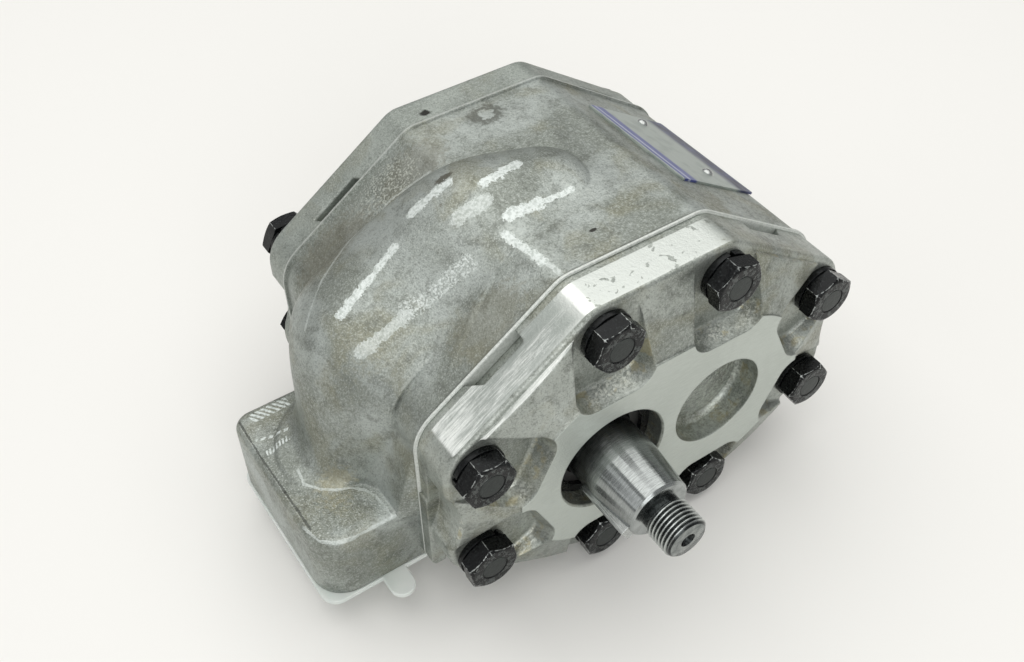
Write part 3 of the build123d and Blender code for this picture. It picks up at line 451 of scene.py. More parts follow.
@dataclass(frozen=True)
class CoverCasting(CastAluminium):
    """Die-cast front cover: grainy pockets whose walls carry painted glints and a painted yellowish reflection, a
    turned land, brushed upper edges painted brighter low on the slope and on the corner facet as painted highlights,
    and turned rings in the recess.
    """

    label: str = "die_cast_and_machined_aluminium"
    mid: str = "#8b908a"
    light: str = "#a9aea8"
    round_mm: float = 0.9
    machined: str = "#bac0b9"
    brushed: str = "#f0f3ef"
    painted_reflection: str = "#a79f7d"
    rough: float = 0.38
    contrast: float = 0.7

    def build(self, palette: Palette) -> bpy.types.Material:
        """The cast skin, then each machined face by where it lies and what it faces."""
        colour, rough = self.skin(palette)
        depth = palette.part("Y")
        front = palette.towards(Vector((0, -1, 0)))
        pocket = palette.sum(palette.ramp(depth, 1.2 * MM, 3.0 * MM), palette.ramp(depth, 7.9 * MM, 8.1 * MM, 1.0, 0.0),
                             kind="MULTIPLY")
        high = palette.part("Z", palette.local(Vector((-59.41, 0, 28.3)), Vector((54.01, 0, 37.26)), Vector((0, 1, 0)),
                                               (1, 1, 1)))
        outer = palette.ramp(palette.sum(high, kind="ABSOLUTE"), 3.0, 4.0, 1.0, 0.0)
        top = palette.ramp(palette.part("Z"), 60 * MM, 61 * MM)
        inner = palette.ramp(palette.sum(outer, top, kind="MAXIMUM"), 0.0, 1.0, 1.0, 0.0)
        wall = palette.sum(pocket, palette.ramp(front, 0.97, 0.6), inner, kind="MULTIPLY")
        # painted glints: bright flecks in patches on the pocket walls
        painted_glints = palette.sum(palette.ramp(palette.noise(0.9, 5, distortion=0.4), 0.46, 0.62),
                            palette.ramp(palette.noise(9, 3), 0.42, 0.6), kind="MULTIPLY")
        colour = palette.mix(palette.sum(wall, painted_glints, 0.6, kind="MULTIPLY"), colour, "#d6d9d0")
        # painted reflection: a yellowish sheen in patches on the pocket walls
        reflection_patches = palette.sum(wall, palette.ramp(palette.noise(5, 6, distortion=0.6), 0.5, 0.64, 0.0, 0.55),
                              kind="MULTIPLY")
        colour = palette.mix(reflection_patches, colour, self.painted_reflection)

        land = palette.sum(palette.ramp(depth, 0.1 * MM, 0.3 * MM, 1.0, 0.0), palette.ramp(front, 0.9, 0.98),
                           kind="MULTIPLY")
        fine = palette.noise(0.6, 3, (7, 1, 1))
        dull = palette.noise(30, 3)
        land_colour = palette.mix(palette.ramp(palette.sum(fine, dull), 0.8, 1.2), "#b2b8b1", self.machined)
        colour = palette.mix(land, colour, land_colour)
        rough = palette.blend(land, rough, 0.4)

        slope = palette.ramp(palette.towards(Vector((-37.26, 0, 54.01))), 0.975, 0.99)
        slope = palette.sum(slope, outer, kind="MULTIPLY")
        roof = palette.ramp(palette.towards(Vector((0, 0, 1))), 0.93, 0.97)
        corner = palette.ramp(palette.towards(Vector((-0.35, 0, 0.94))), 0.965, 0.995)
        left = palette.ramp(palette.part("X"), 42 * MM, 54 * MM, 1.0, 0.0)
        away = palette.ramp(depth, 21.6 * MM, 22.0 * MM, 1.0, 0.0)
        worn = palette.noise(3.5, 6, distortion=0.4)
        flat = palette.sum(palette.sum(roof, palette.ramp(worn, 0.61, 0.64, 1.0, 0.3), kind="MULTIPLY"), corner,
                           kind="MAXIMUM")
        flat = palette.sum(flat, left, top, kind="MULTIPLY")
        ground = palette.sum(palette.sum(slope, flat, kind="MAXIMUM"), away, kind="MULTIPLY")
        turned = add_node(palette.tree, "ShaderNodeMapping", {"vector_type": "POINT"},
                          {"Vector": palette.place, "Rotation": (0, math.radians(34.6), 0)}).outputs[0]
        scratches = palette.noise(0.42, 4, (11, 1, 1), turned, distortion=0.2)
        strip = palette.noise(5, 3, (5, 1, 1), turned)
        # the brushed edge is painted bright low down and darker towards the top: a painted reflection over the real
        # brushing scratches
        fade = palette.sum(palette.part("Z"), 16, kind="MULTIPLY")
        lit = palette.ramp(palette.sum(scratches, strip, fade), 1.27, 1.92, 1.0, 0.0)
        edge = palette.mix(lit, "#a5aba6", self.brushed)
        edge = palette.mix(palette.sum(flat, 0.6, kind="MULTIPLY"), edge, "#e2e6e1")
        # the ground corner facet painted near-white: bare ground metal with a painted highlight
        edge = palette.mix(corner, edge, "#f4f6f2")
        colour = palette.mix(ground, colour, edge)
        rough = palette.blend(ground, rough, 0.42)

        centred = add_node(palette.tree, "ShaderNodeMapping", {"vector_type": "TEXTURE"},
                           {"Vector": palette.place, "Location": (IDLER_X * MM, 0, 0)})
        rings = add_node(palette.tree, "ShaderNodeTexWave",
                         {"wave_type": "RINGS", "rings_direction": "Y", "wave_profile": "SIN"},
                         {"Vector": centred.outputs[0], "Scale": per_size(4), "Distortion": 1.0, "Detail": 2.0,
                          "Detail Scale": 60.0})
        inside = palette.ramp(palette.length(centred.outputs[0]), 20 * MM, 21 * MM, 1.0, 0.0)
        deep = palette.sum(inside, palette.ramp(depth, 1.5 * MM, 2.5 * MM), kind="MULTIPLY")
        colour = palette.mix(palette.sum(deep, palette.ramp(palette.noise(1.4, 6), 0.45, 0.65), 0.6, kind="MULTIPLY"),
                             colour, "#c2c8c0")
        lathe = palette.sum(palette.ramp(depth, 9.5 * MM, 9.9 * MM), inside, kind="MULTIPLY")
        metal = palette.blend(palette.sum(ground, land, kind="MAXIMUM"), 0.75, 0.5)
        palette.set(Base_Color=colour, Metallic=metal, Roughness=rough)
        palette.bump(palette.sum(rings.outputs["Fac"], lathe, kind="MULTIPLY"), 0.16, 1.0)
        palette.bump(palette.sum(scratches, ground, kind="MULTIPLY"), 0.05, 0.7)
        return palette.material


@dataclass(frozen=True)
class BlackOxide(Finish):
    """Blackened steel: oily near-black skin; bare metal where edges rub, brightened further as painted edge highlights,
    a stamped ring and a smooth disc on top.
    """

    label: str = "black_oxide_steel"
    by_attributes: bool = True

    def build(self, palette: Palette) -> bpy.types.Material:
        """Black base with dusty speckle; wear with its painted edge highlight, stamp and disc are attributes of the
        bolts.
        """
        speckle = palette.noise(0.8, 5)
        oil = palette.noise(3.0, 3)
        colour = palette.mix(palette.ramp(speckle, 0.54, 0.74, 0.0, 0.5), "#0e1011", "#3d4142")
        rough = palette.ramp(palette.sum(speckle, oil), 0.8, 1.2, 0.2, 0.42)
        if self.by_attributes:
            stamp, disc, wear_and_highlight = (add_node(palette.tree, "ShaderNodeAttribute", {"attribute_name": name}).outputs["Fac"]
                                 for name in ("stamp", "disc", "wear_and_highlight"))
            chips = palette.noise(1.3, 2)
            raised = palette.sum(stamp, palette.ramp(chips, 0.5, 0.56), kind="MULTIPLY")
            colour = palette.mix(disc, colour, palette.mix(speckle, "#151918", "#363c3a"))
            colour = palette.mix(palette.sum(raised, 0.5, kind="MULTIPLY"), colour, "#5f6462")
            # worn edges of bare metal, brightened further as painted edge highlights
            rubbed_and_highlit = palette.ramp(palette.sum(wear_and_highlight, palette.sum(palette.noise(1.3, 5), 1.5, kind="MULTIPLY")), 1.52, 1.8)
            colour = palette.mix(palette.sum(rubbed_and_highlit, 0.9, kind="MULTIPLY"), colour, "#a3a7a5")
            rough = palette.blend(palette.sum(rubbed_and_highlit, disc, kind="MAXIMUM"), rough, 0.33)
            palette.bump(raised, 0.25, 1.0)
        palette.set(Base_Color=colour, Metallic=0.6, Roughness=rough)
        palette.bump(speckle, 0.08, 0.7)
        palette.bump(oil, 0.12, 0.5)
        return palette.material


@dataclass(frozen=True)
class Steel(Finish):
    """Bare steel: ground or drawn, with fine scratches along or round the piece."""

    label: str
    colour: str
    darker: str
    rough: float
    scratch_mm: tuple[float, float, float] = (1, 12, 1)
    scratch_depth: float = 0.004
    anisotropic: float = 0.0

    def build(self, palette: Palette) -> bpy.types.Material:
        """Two close greys in fine scratches."""
        scratches = palette.noise(0.35, 4, self.scratch_mm)
        smears = palette.noise(6, 3)
        colour = palette.mix(palette.ramp(scratches, 0.3, 0.7), self.darker, self.colour)
        rough = palette.sum(palette.ramp(scratches, 0.3, 0.7, -0.02, 0.03),
                            palette.ramp(smears, 0.4, 0.7, self.rough, self.rough + 0.05))
        palette.set(Base_Color=colour, Metallic=1.0, Roughness=rough)
        if self.anisotropic:
            around = add_node(palette.tree, "ShaderNodeTangent", {"direction_type": "RADIAL", "axis": "Y"})
            palette.set(Anisotropic=self.anisotropic, Anisotropic_Rotation=0.25, Tangent=around.outputs[0])
        palette.bump(scratches, self.scratch_depth, 0.5)
        return palette.material


@dataclass(frozen=True)
class RolledThread(Finish):
    """Rolled thread: crests painted bright as a painted highlight, dark elsewhere, and a turned end face."""

    label: str = "rolled_thread_steel"
    crest: float = 8.0

    def build(self, palette: Palette) -> bpy.types.Material:
        """Grey by the distance from the axis, the crests painted bright as a highlight, with lathe rings on the end."""
        parts = add_node(palette.tree, "ShaderNodeSeparateXYZ", None, {0: palette.place})
        flat = add_node(palette.tree, "ShaderNodeCombineXYZ", None, {"X": parts.outputs["X"], "Z": parts.outputs["Z"]})
        radius = palette.length(flat.outputs[0])
        # painted highlight along the thread's crests
        crest_highlight = palette.ramp(radius, (self.crest - 0.75) * MM, (self.crest - 0.15) * MM)
        end = palette.ramp(palette.towards(Vector((0, -1, 0))), 0.8, 0.95)
        speckle = palette.noise(0.7, 4)
        colour = palette.mix(palette.ramp(speckle, 0.4, 0.7), "#2e3131", "#444848")
        colour = palette.mix(crest_highlight, colour, "#b4b8b6")
        rings = palette.noise(0.3, 3, (9, 1, 9), flat.outputs[0])
        colour = palette.mix(end, colour, palette.mix(palette.ramp(rings, 0.3, 0.7), "#6f7473", "#979b99"))
        palette.set(Base_Color=colour, Metallic=1.0, Roughness=palette.ramp(speckle, 0.3, 0.7, 0.2, 0.32))
        palette.bump(speckle, 0.02, 0.5)
        return palette.material


@dataclass(frozen=True)
class Rubber(Finish):
    """Moulded nitrile rubber: near-black, soft sheen, faint dust."""

    label: str = "moulded_nitrile_rubber"

    def build(self, palette: Palette) -> bpy.types.Material:
        """Black with a little grey dust."""
        dust = palette.noise(1.6, 4)
        palette.set(Base_Color=palette.mix(palette.ramp(dust, 0.5, 0.8, 0.0, 0.5), "#141414", "#3b3a37"),
                    Roughness=palette.ramp(dust, 0.3, 0.8, 0.42, 0.6), IOR=1.52)
        palette.bump(dust, 0.05, 0.5)
        return palette.material


@dataclass(frozen=True)
class Polyethylene(Finish):
    """Low-density polyethylene, injection moulded: milky, waxy and a little see-through."""

    label: str = "moulded_polyethylene"

    def build(self, palette: Palette) -> bpy.types.Material:
        """Milky body colour with soft scattering below it."""
        cloud = palette.noise(14, 3)
        scuffs = palette.noise(1.1, 4, (1, 5, 1))
        palette.set(Base_Color=palette.mix(palette.ramp(cloud, 0.3, 0.7), "#dfe6e1", "#eef1ee"),
                    Roughness=palette.ramp(scuffs, 0.3, 0.7, 0.34, 0.5), IOR=1.51,
                    Subsurface_Weight=0.35, Subsurface_Radius=(0.004, 0.004, 0.004), Transmission_Weight=0.25)
        palette.bump(scuffs, 0.03, 0.5)
        return palette.material


@dataclass(frozen=True)
class PrintedPlate(Finish):
    """Aluminium sheet, brushed and screen-printed: bare silver field between a violet and a navy band."""

    label: str = "printed_aluminium_sheet"

    def build(self, palette: Palette) -> bpy.types.Material:
        """Bands by the distance across the plate, brushed along it."""
        plate = Nameplate()
        centre, across, along = plate.axes()
        local = palette.local(centre, across, along, (plate.width / 2, plate.length / 2, 10))
        side = palette.part("X", local)
        brushed = palette.noise(0.5, 4, (1, 14, 1))
        smudge = palette.noise(6, 5)
        colour = palette.mix(palette.ramp(brushed, 0.3, 0.7), "#8d9692", "#a9b1ab")
        colour = palette.mix(palette.ramp(smudge, 0.45, 0.7, 0.0, 0.5), colour, "#7a8480")
        violet = palette.sum(palette.ramp(side, -0.97, -0.95), palette.ramp(side, -0.68, -0.6, 1.0, 0.0),
                             kind="MULTIPLY")
        colour = palette.mix(violet, colour, "#4c548f")
        line = palette.sum(palette.ramp(side, -0.88, -0.86), palette.ramp(side, -0.82, -0.8, 1.0, 0.0),
                           kind="MULTIPLY")
        colour = palette.mix(palette.sum(line, 0.7, kind="MULTIPLY"), colour, "#b9bfd0")
        navy = palette.ramp(side, 0.45, 0.7)
        colour = palette.mix(navy, colour, palette.mix(palette.ramp(smudge, 0.35, 0.65), "#181e3c", "#2c3560"))
        rim = palette.ramp(side, 0.965, 0.98)
        colour = palette.mix(rim, colour, "#c9cfcb")
        palette.set(Base_Color=colour, Metallic=0.6, Roughness=palette.ramp(brushed, 0.3, 0.7, 0.3, 0.44))
        palette.bump(brushed, 0.01, 0.5)
        return palette.material


@dataclass(frozen=True)
class PlainFinish(Finish):
    """A sealed inner piece's finish: one real material with its own fine grain."""

    label: str
    colour: str
    darker: str
    metallic: float
    rough: float
    grain_mm: float = 0.8

    def build(self, palette: Palette) -> bpy.types.Material:
        """Two close colours in fine grain."""
        grain = palette.noise(self.grain_mm, 4)
        palette.set(Base_Color=palette.mix(palette.ramp(grain, 0.35, 0.7), self.colour, self.darker),
                    Metallic=self.metallic, Roughness=palette.ramp(grain, 0.3, 0.7, self.rough - 0.06, self.rough + 0.06))
        palette.bump(grain, 0.03, 0.5)
        return palette.material


# Strokes where the duct's casting flash was filed off, and two on the casing's slope
DUCT_MARKS = (
    FiledMarkOrPaintedLight((-58.5, 68.7, 43.0), (-51.0, 70.3, 47.5), 2.0),
    FiledMarkOrPaintedLight((-50.0, 70.5, 48.0), (-34.4, 73.9, 56.2), 1.5),
    FiledMarkOrPaintedLight((-25.4, 78.0, 62.2), (-11.5, 76.6, 70.3), 1.7),
    FiledMarkOrPaintedLight((-16.6, 64.0, 66.2), (-6.0, 62.9, 69.3), 3.0, 0.6),
    FiledMarkOrPaintedLight((-4.2, 68.2, 71.5), (10.6, 71.0, 70.9), 1.9),
    FiledMarkOrPaintedLight((-3.0, 55.1, 66.8), (9.0, 55.4, 66.8), 2.3),
    FiledMarkOrPaintedLight((9.0, 55.4, 66.5), (21.6, 55.8, 65.5), 1.3),
    FiledMarkOrPaintedLight((-7.6, 50.8, 64.3), (-4.6, 34.6, 64.4), 1.7, 0.9),
    FiledMarkOrPaintedLight((-4.3, 32.0, 64.4), (-4.0, 25.6, 65.0), 0.9, 0.6),
    FiledMarkOrPaintedLight((-58.5, 56.1, 37.2), (-42.0, 55.5, 44.6), 2.4, 0.6),
    FiledMarkOrPaintedLight((-41.0, 55.5, 45.2), (-20.5, 52.8, 57.5), 3.4, 0.75, True),
)
# Edges painted bright as painted highlights: the duct's crest line, its foot on the port foot, and the port foot's own
# front edge
EDGE_HIGHLIGHTS = (
    *strokes(((-68.4, 75.7, 36.0), (-55.7, 86.5, 42.8), (-40.5, 94.8, 46.4), (-22.6, 98.4, 52.6), (-9.3, 93.4, 61.8)),
             0.5, 0.4),
    *strokes(((-85.3, 60.9, -8.8), (-86.2, 55.0, -9.4), (-82.7, 50.4, -9.6), (-78.3, 47.4, -10.1), (-73.5, 45.2, -10.2),
              (-70.6, 42.2, -10.2), (-68.6, 37.8, -10.2), (-68.0, 28.4, -10.4)), 0.5, 0.5),
    *strokes(((-93.6, 40.0, -10.8), (-92.0, 33.0, -10.8), (-88.0, 29.2, -10.8), (-83.0, 28.0, -10.8),
              (-67.0, 27.8, -10.8)), 0.65, 0.55),
)
# A dark line painted along the port foot top's left edge: painted shade on its rounded edge
FOOT_EDGE_SHADE = strokes(((-92.6, 92.0, -10.2), (-93.0, 74.0, -10.2), (-92.7, 56.0, -10.2), (-92.4, 38.0, -10.2)), 0.4, 0.7)
FOOT_TICKS = (
    Ticks((-89.0, 91.0, -10.2), (-74.0, 91.5, -10.2), 2.1, 2.3, 0.7),
    Ticks((-91.5, 81.5, -10.2), (-79.5, 78.2, -10.2), 2.7, 0.8, -0.5),
    Ticks((-91.0, 74.2, -10.2), (-81.5, 75.0, -10.2), 1.3, 1.3, -0.4),
)
BODY_SPOTS = (
    Spot((-14, 99, 60), (15, 10, 14), "#6f6c5d", 0.45),
    Spot((-22, 103, 54), (17, 9, 13), "#c3c7bd", 0.6, Outline.FLECKED),
    Spot((-45, 100, 38), (22, 12, 16), "#6f6b5b", 0.45),
    Spot((-25, 34, 50), (16, 9, 14), "#7a7765", 0.35),
    Spot((-52, 60, 20), (16, 14, 20), "#8d8970", 0.3),
    Spot((-80, 45, -6), (9, 9, 5), "#a39c7c", 0.4),
    Spot((21.5, 106.6, 64.6), (6.6, 5.4, 3), "#5b5d56", 0.8, Outline.RIM),
    Spot((15.9, 37.0, 64.7), (1.5, 0.7, 2), "#2c2a26", 0.95),
    Spot((-18.0, 71.0, 63.0), (2.4, 1.8, 4), "#4f4633", 0.9),
    Spot((-12.0, 79.5, 69.0), (3.4, 1.5, 5), "#4a4538", 0.8),
)

BODY = BodyCasting("sand_cast_aluminium", marks=DUCT_MARKS + EDGE_HIGHLIGHTS + FOOT_TICKS, painted_shade_lines=FOOT_EDGE_SHADE,
                   light="#a8aeaa", contrast=0.7, spots=BODY_SPOTS)
REAR = CastAluminium("die_cast_aluminium", mid="#8f958f", light="#a0a6a0", olive="#8d8d7c", contrast=0.45,
                     spots=(Spot((4.4, 119.1, 64.6), (2.0, 1.7, 3), "#2b2b27", 1.0),))
COVER = CoverCasting()
BLACK = BlackOxide()
BLACK_PLAIN = BlackOxide("black_oxide_spring_steel", by_attributes=False)
SHAFT_STEEL = Steel("ground_alloy_steel", "#a9adac", "#8f9392", 0.19, (9, 1, 9), 0.001, 0.9)
KEY_STEEL = Steel("drawn_bright_steel", "#c3c6c4", "#a0a3a2", 0.26)
THREAD_STEEL = RolledThread()
RUBBER = Rubber()
CAP = Polyethylene()
PLATE = PrintedPlate()
BLOCK = PlainFinish("turned_aluminium", "#a4a7a4", "#8f9290", 1.0, 0.34)
BRONZE = PlainFinish("sintered_bronze", "#a98a52", "#8a6d3c", 1.0, 0.42)
BACKUP = PlainFinish("natural_polyamide", "#d6d1bd", "#c7c1aa", 0.0, 0.5)


def body_of(node: str) -> Body:
    """The body that a CAD node rides on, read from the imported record."""
    bodies = FRAME["record"]["behaviour"]["bodies"]
    return next(Body(name) for name, members in bodies.items() if node in members)


def mesh_piece(name: str, mesh: bpy.types.Mesh, finish: Finish, node: str) -> bpy.types.Object:
    """Puts a mesh into the scene in place of a CAD node, on the same body.

    Args:
        name: the new piece's name.
        mesh: its mesh, in metres.
        finish: what it is made of.
        node: the CAD node that it stands for.

    Returns:
        The new object.
    """
    piece = bpy.data.objects.new(name, mesh)
    bpy.context.scene.collection.objects.link(piece)
    mesh.materials.clear()
    mesh.materials.append(finish.material())
    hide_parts(node)
    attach(piece, body_of(node).value)
    log.info("%s stands for %s, %d faces", name, node, len(mesh.polygons))
    return piece


def welded(node: str) -> bmesh.types.BMesh:
    """A copy of a CAD node's mesh with its loose triangles joined and its flat faces made whole."""
    shape = bmesh.new()
    shape.from_mesh(FRAME["nodes"][node].data)
    bmesh.ops.remove_doubles(shape, verts=shape.verts, dist=WELD)
    bmesh.ops.dissolve_limit(shape, angle_limit=math.radians(0.4), verts=shape.verts, edges=shape.edges)
    return shape


def softened(node: str, name: str, finish: Finish, round_mm: float = 0.0,
             crease: float = 28.0) -> bpy.types.Object:
    """Replaces a CAD node by a welded copy, smooth over its curves and rounded at its edges.

    Args:
        node: the CAD node.
        name: the new piece's name.
        finish: what it is made of.
        round_mm: how far its edges are rounded, or 0 to leave them sharp.
        crease: the smallest angle, in degrees, that counts as an edge.

    Returns:
        The new object.
    """
    shape = welded(node)
    mesh = bpy.data.meshes.new(name)
    shape.to_mesh(mesh)
    shape.free()
    mesh.shade_smooth()
    mesh.set_sharp_from_angle(angle=math.radians(crease))
    piece = mesh_piece(name, mesh, finish, node)
    if round_mm:
        bevel = piece.modifiers.new("rounded_edges", "BEVEL")
        bevel.width = round_mm * MM
        bevel.segments = 2
        bevel.limit_method = "ANGLE"
        bevel.angle_limit = math.radians(crease)
        bevel.harden_normals = True
    return piece


def grid_quads(rows: int, columns: int) -> np.ndarray:
    """Corner numbers of the quads of a grid whose columns go round and meet.

    Args:
        rows: points along the profile.
        columns: points round the axis.

    Returns:
        An array of four corner numbers for each quad.
    """
    row, column = np.meshgrid(np.arange(rows - 1), np.arange(columns), indexing="ij")
    after = (column + 1) % columns
    corners = (row * columns + column, row * columns + after, (row + 1) * columns + after, (row + 1) * columns + column)
    return np.stack(corners, axis=-1).reshape(-1, 4)


def grid_mesh(name: str, points: np.ndarray, quads: np.ndarray, crease: float = 30.0,
              **attributes: np.ndarray) -> bpy.types.Mesh:
    """Makes a closed mesh from points and quads, with its poles welded and its faces outwards.

    Args:
        name: the mesh's name.
        points: rows of x, y and z in millimetres.
        quads: rows of four corner numbers.
        crease: the smallest angle, in degrees, that stays a sharp edge.
        attributes: a number for each point, by name.

    Returns:
        The mesh, in metres.
    """
    mesh = bpy.data.meshes.new(name)
    mesh.vertices.add(len(points))
    mesh.vertices.foreach_set("co", (points * MM).astype(np.float32).ravel())
    mesh.loops.add(quads.size)
    mesh.loops.foreach_set("vertex_index", quads.astype(np.int32).ravel())
    mesh.polygons.add(len(quads))
    mesh.polygons.foreach_set("loop_start", np.arange(len(quads), dtype=np.int32) * 4)
    for key, values in attributes.items():
        mesh.attributes.new(key, "FLOAT", "POINT").data.foreach_set("value", values.astype(np.float32))
    mesh.update(calc_edges=True)
    shape = bmesh.new()
    shape.from_mesh(mesh)
    bmesh.ops.remove_doubles(shape, verts=shape.verts, dist=WELD)
    bmesh.ops.recalc_face_normals(shape, faces=shape.faces)
    shape.to_mesh(mesh)
    shape.free()
    mesh.shade_smooth()
    mesh.set_sharp_from_angle(angle=math.radians(crease))
    return mesh


def turned_normals(mesh: bpy.types.Mesh) -> None:
    """Shades the faces turned about the drive axis as the true turned surface, whatever their triangles.

    A face counts as turned where its normal, seen along the axis, lies within 7 degrees of the line from the axis
    through its middle. Each of its corners then gets the outward direction at that corner, tilted along the axis as
    the face is.
    """
    faces, corners = len(mesh.polygons), len(mesh.loops)
    places, middles, flats = (np.empty(count * 3, np.float32) for count in (len(mesh.vertices), faces, faces))
    shaded, sizes, numbers = np.empty(corners * 3, np.float32), np.empty(faces, np.int32), np.empty(corners, np.int32)
    mesh.vertices.foreach_get("co", places)
    mesh.polygons.foreach_get("center", middles)
    mesh.polygons.foreach_get("normal", flats)
    mesh.polygons.foreach_get("loop_total", sizes)
    mesh.loops.foreach_get("vertex_index", numbers)
    mesh.corner_normals.foreach_get("vector", shaded)
    places, middles, flats, shaded = (values.reshape(-1, 3) for values in (places, middles, flats, shaded))
    tilt = np.hypot(flats[:, 0], flats[:, 2])
    away = np.hypot(middles[:, 0], middles[:, 2]) + WELD
    facing = (flats[:, 0] * middles[:, 0] + flats[:, 2] * middles[:, 2]) / (away * np.maximum(tilt, WELD))
    turned = (tilt > 0.2) & (np.abs(facing) > math.cos(math.radians(7)))
    owner = np.repeat(np.arange(faces), sizes)
    outward = places[numbers] * (1, 0, 1)
    outward = outward / (np.linalg.norm(outward, axis=1, keepdims=True) + WELD)
    true = outward * (np.sign(facing) * tilt)[owner, None] + flats[owner] * (0, 1, 0)
    mesh.normals_split_custom_set(np.where(turned[owner, None], true, shaded).tolist())


@dataclass(frozen=True)
class BoltPlace:
    """Where one cover bolt stands, and how its hexagon is turned."""

    x: float
    z: float
    turn: float


@dataclass(frozen=True)
class HexBolts:
    """The bolts of one cover: hexagon heads with a washer face, chamfered corners and a dished crown."""

    node: str
    places: tuple[BoltPlace, ...]
    outward: int
    crown_at: float
    shank_end: float
    across_flats: float = 17.0
    head_height: float = 6.4
    washer_face: float = 0.5
    shank_radius: float = 5.0
    columns: int = 120

    def profile(self) -> np.ndarray:
        """Rows of height below the crown and radius, from the crown's centre down to the shank's end."""
        top = self.across_flats * 0.475
        disc = 4.5
        length = abs(self.shank_end - self.crown_at)
        ring = [(0.0, r) for r in np.linspace(disc + 0.45, top - 0.5, 8)]
        crown = [(0.1, 0.0), (0.1, disc - 0.9), (0.12, disc - 0.2), (0.3, disc), (0.3, disc + 0.15), (0.04, disc + 0.3),
                 *ring, (0.015, top - 0.15)]
        flank = [(h, 40.0) for h in (0.05, 0.12, 0.25, 0.4, 0.6, 0.8, 1.0, 1.2, 1.45, 2.0, 4.0,
                                     self.head_height - self.washer_face - 0.15)]
        foot = [(self.head_height - self.washer_face, self.across_flats * 0.482),
                (self.head_height - 0.06, self.across_flats * 0.482), (self.head_height, self.across_flats * 0.478),
                (self.head_height, self.shank_radius), (length - 0.8, self.shank_radius),
                (length, self.shank_radius - 0.8), (length, 0.0)]
        return np.array(crown + flank + foot)

    def surface(self) -> tuple[np.ndarray, dict[str, np.ndarray]]:
        """Points of one bolt, and how worn and painted bright as an edge highlight, stamped or smooth each is.

        A row's radius is the least of its own radius, of the chamfer cone, which grows 1.73 for each unit of depth,
        and of the hexagon, which is the half width over the cosine of the angle from the nearest flat's middle.
        The least is softened, so that edges are rounded. Wear, with the painted edge highlight, falls off with the
        distance from an edge.
        """
        height, nominal = self.profile().T
        angle = np.arange(self.columns) * (2 * np.pi / self.columns)
        from_flat = (angle + np.pi / 6) % (np.pi / 3) - np.pi / 6
        hexagon = (self.across_flats / 2) / np.cos(from_flat)
        cone = self.across_flats * 0.475 + height * math.sqrt(3)
        soft = 0.09
        limit = -soft * np.logaddexp(-hexagon[None, :] / soft, -cone[:, None] / soft)
        flank = nominal[:, None] > 20
        radius = np.where(flank, limit, nominal[:, None])
        x = radius * np.cos(angle)[None, :]
        z = radius * np.sin(angle)[None, :]
        y = self.crown_at - self.outward * np.broadcast_to(height[:, None], radius.shape)
        corner = np.exp(-((np.pi / 6 - np.abs(from_flat)) * hexagon / 0.3) ** 2)[None, :] * flank
        chamfer = np.exp(-((cone[:, None] - hexagon[None, :]) / 0.45) ** 2) * flank
        rim = np.exp(-((radius - self.across_flats * 0.475) / 0.3) ** 2) * (height[:, None] < 0.3)
        wear_and_highlight = np.clip(np.maximum(np.maximum(corner, chamfer), 0.8 * rim), 0, 1)
        crown = height[:, None] < 0.35
        disc = crown & (radius < 4.6)
        stamp = crown & (radius > 4.9) & (radius < self.across_flats * 0.45)
        named = {"wear_and_highlight": wear_and_highlight, "disc": disc, "stamp": stamp}
        return np.stack((x, y, z), axis=-1).reshape(-1, 3), {k: v.ravel().astype(float) for k, v in named.items()}

    def build(self) -> bpy.types.Object:
        """All the bolts as one piece, each turned as it was left."""
        points, named = self.surface()
        quads = grid_quads(len(self.profile()), self.columns)
        turns = np.radians([p.turn for p in self.places])
        cosine, sine = np.cos(turns)[:, None], np.sin(turns)[:, None]
        x = points[:, 0] * cosine - points[:, 2] * sine + np.array([p.x for p in self.places])[:, None]
        z = points[:, 0] * sine + points[:, 2] * cosine + np.array([p.z for p in self.places])[:, None]
        y = np.broadcast_to(points[:, 1], x.shape)
        every = np.stack((x, y, z), axis=-1).reshape(-1, 3)
        offsets = np.arange(len(self.places)) * len(points)
        quads = (quads[None] + offsets[:, None, None]).reshape(-1, 4)
        mesh = grid_mesh(self.node, every, quads, 24, **{k: np.tile(v, len(self.places)) for k, v in named.items()})
        return mesh_piece(self.node + "_piece", mesh, BLACK, self.node)


@dataclass(frozen=True)
class Nameplate:
    """The plate on the right-hand slope: where it lies, for its printed bands."""

    width: float = 47.0
    length: float = 50.0

    def axes(self) -> tuple[Vector, Vector, Vector]:
        """The plate's middle, its direction down the slope and its direction to the rear."""
        low, high = (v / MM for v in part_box("nameplate"))
        centre = (low + high) / 2
        slope = Vector((54.01, 0, -37.26)).normalized()
        turn = math.radians(4.0)
        rear = Vector((0, 1, 0))
        across = slope * math.cos(turn) + rear * math.sin(turn)
        return centre, across, rear * math.cos(turn) - slope * math.sin(turn)


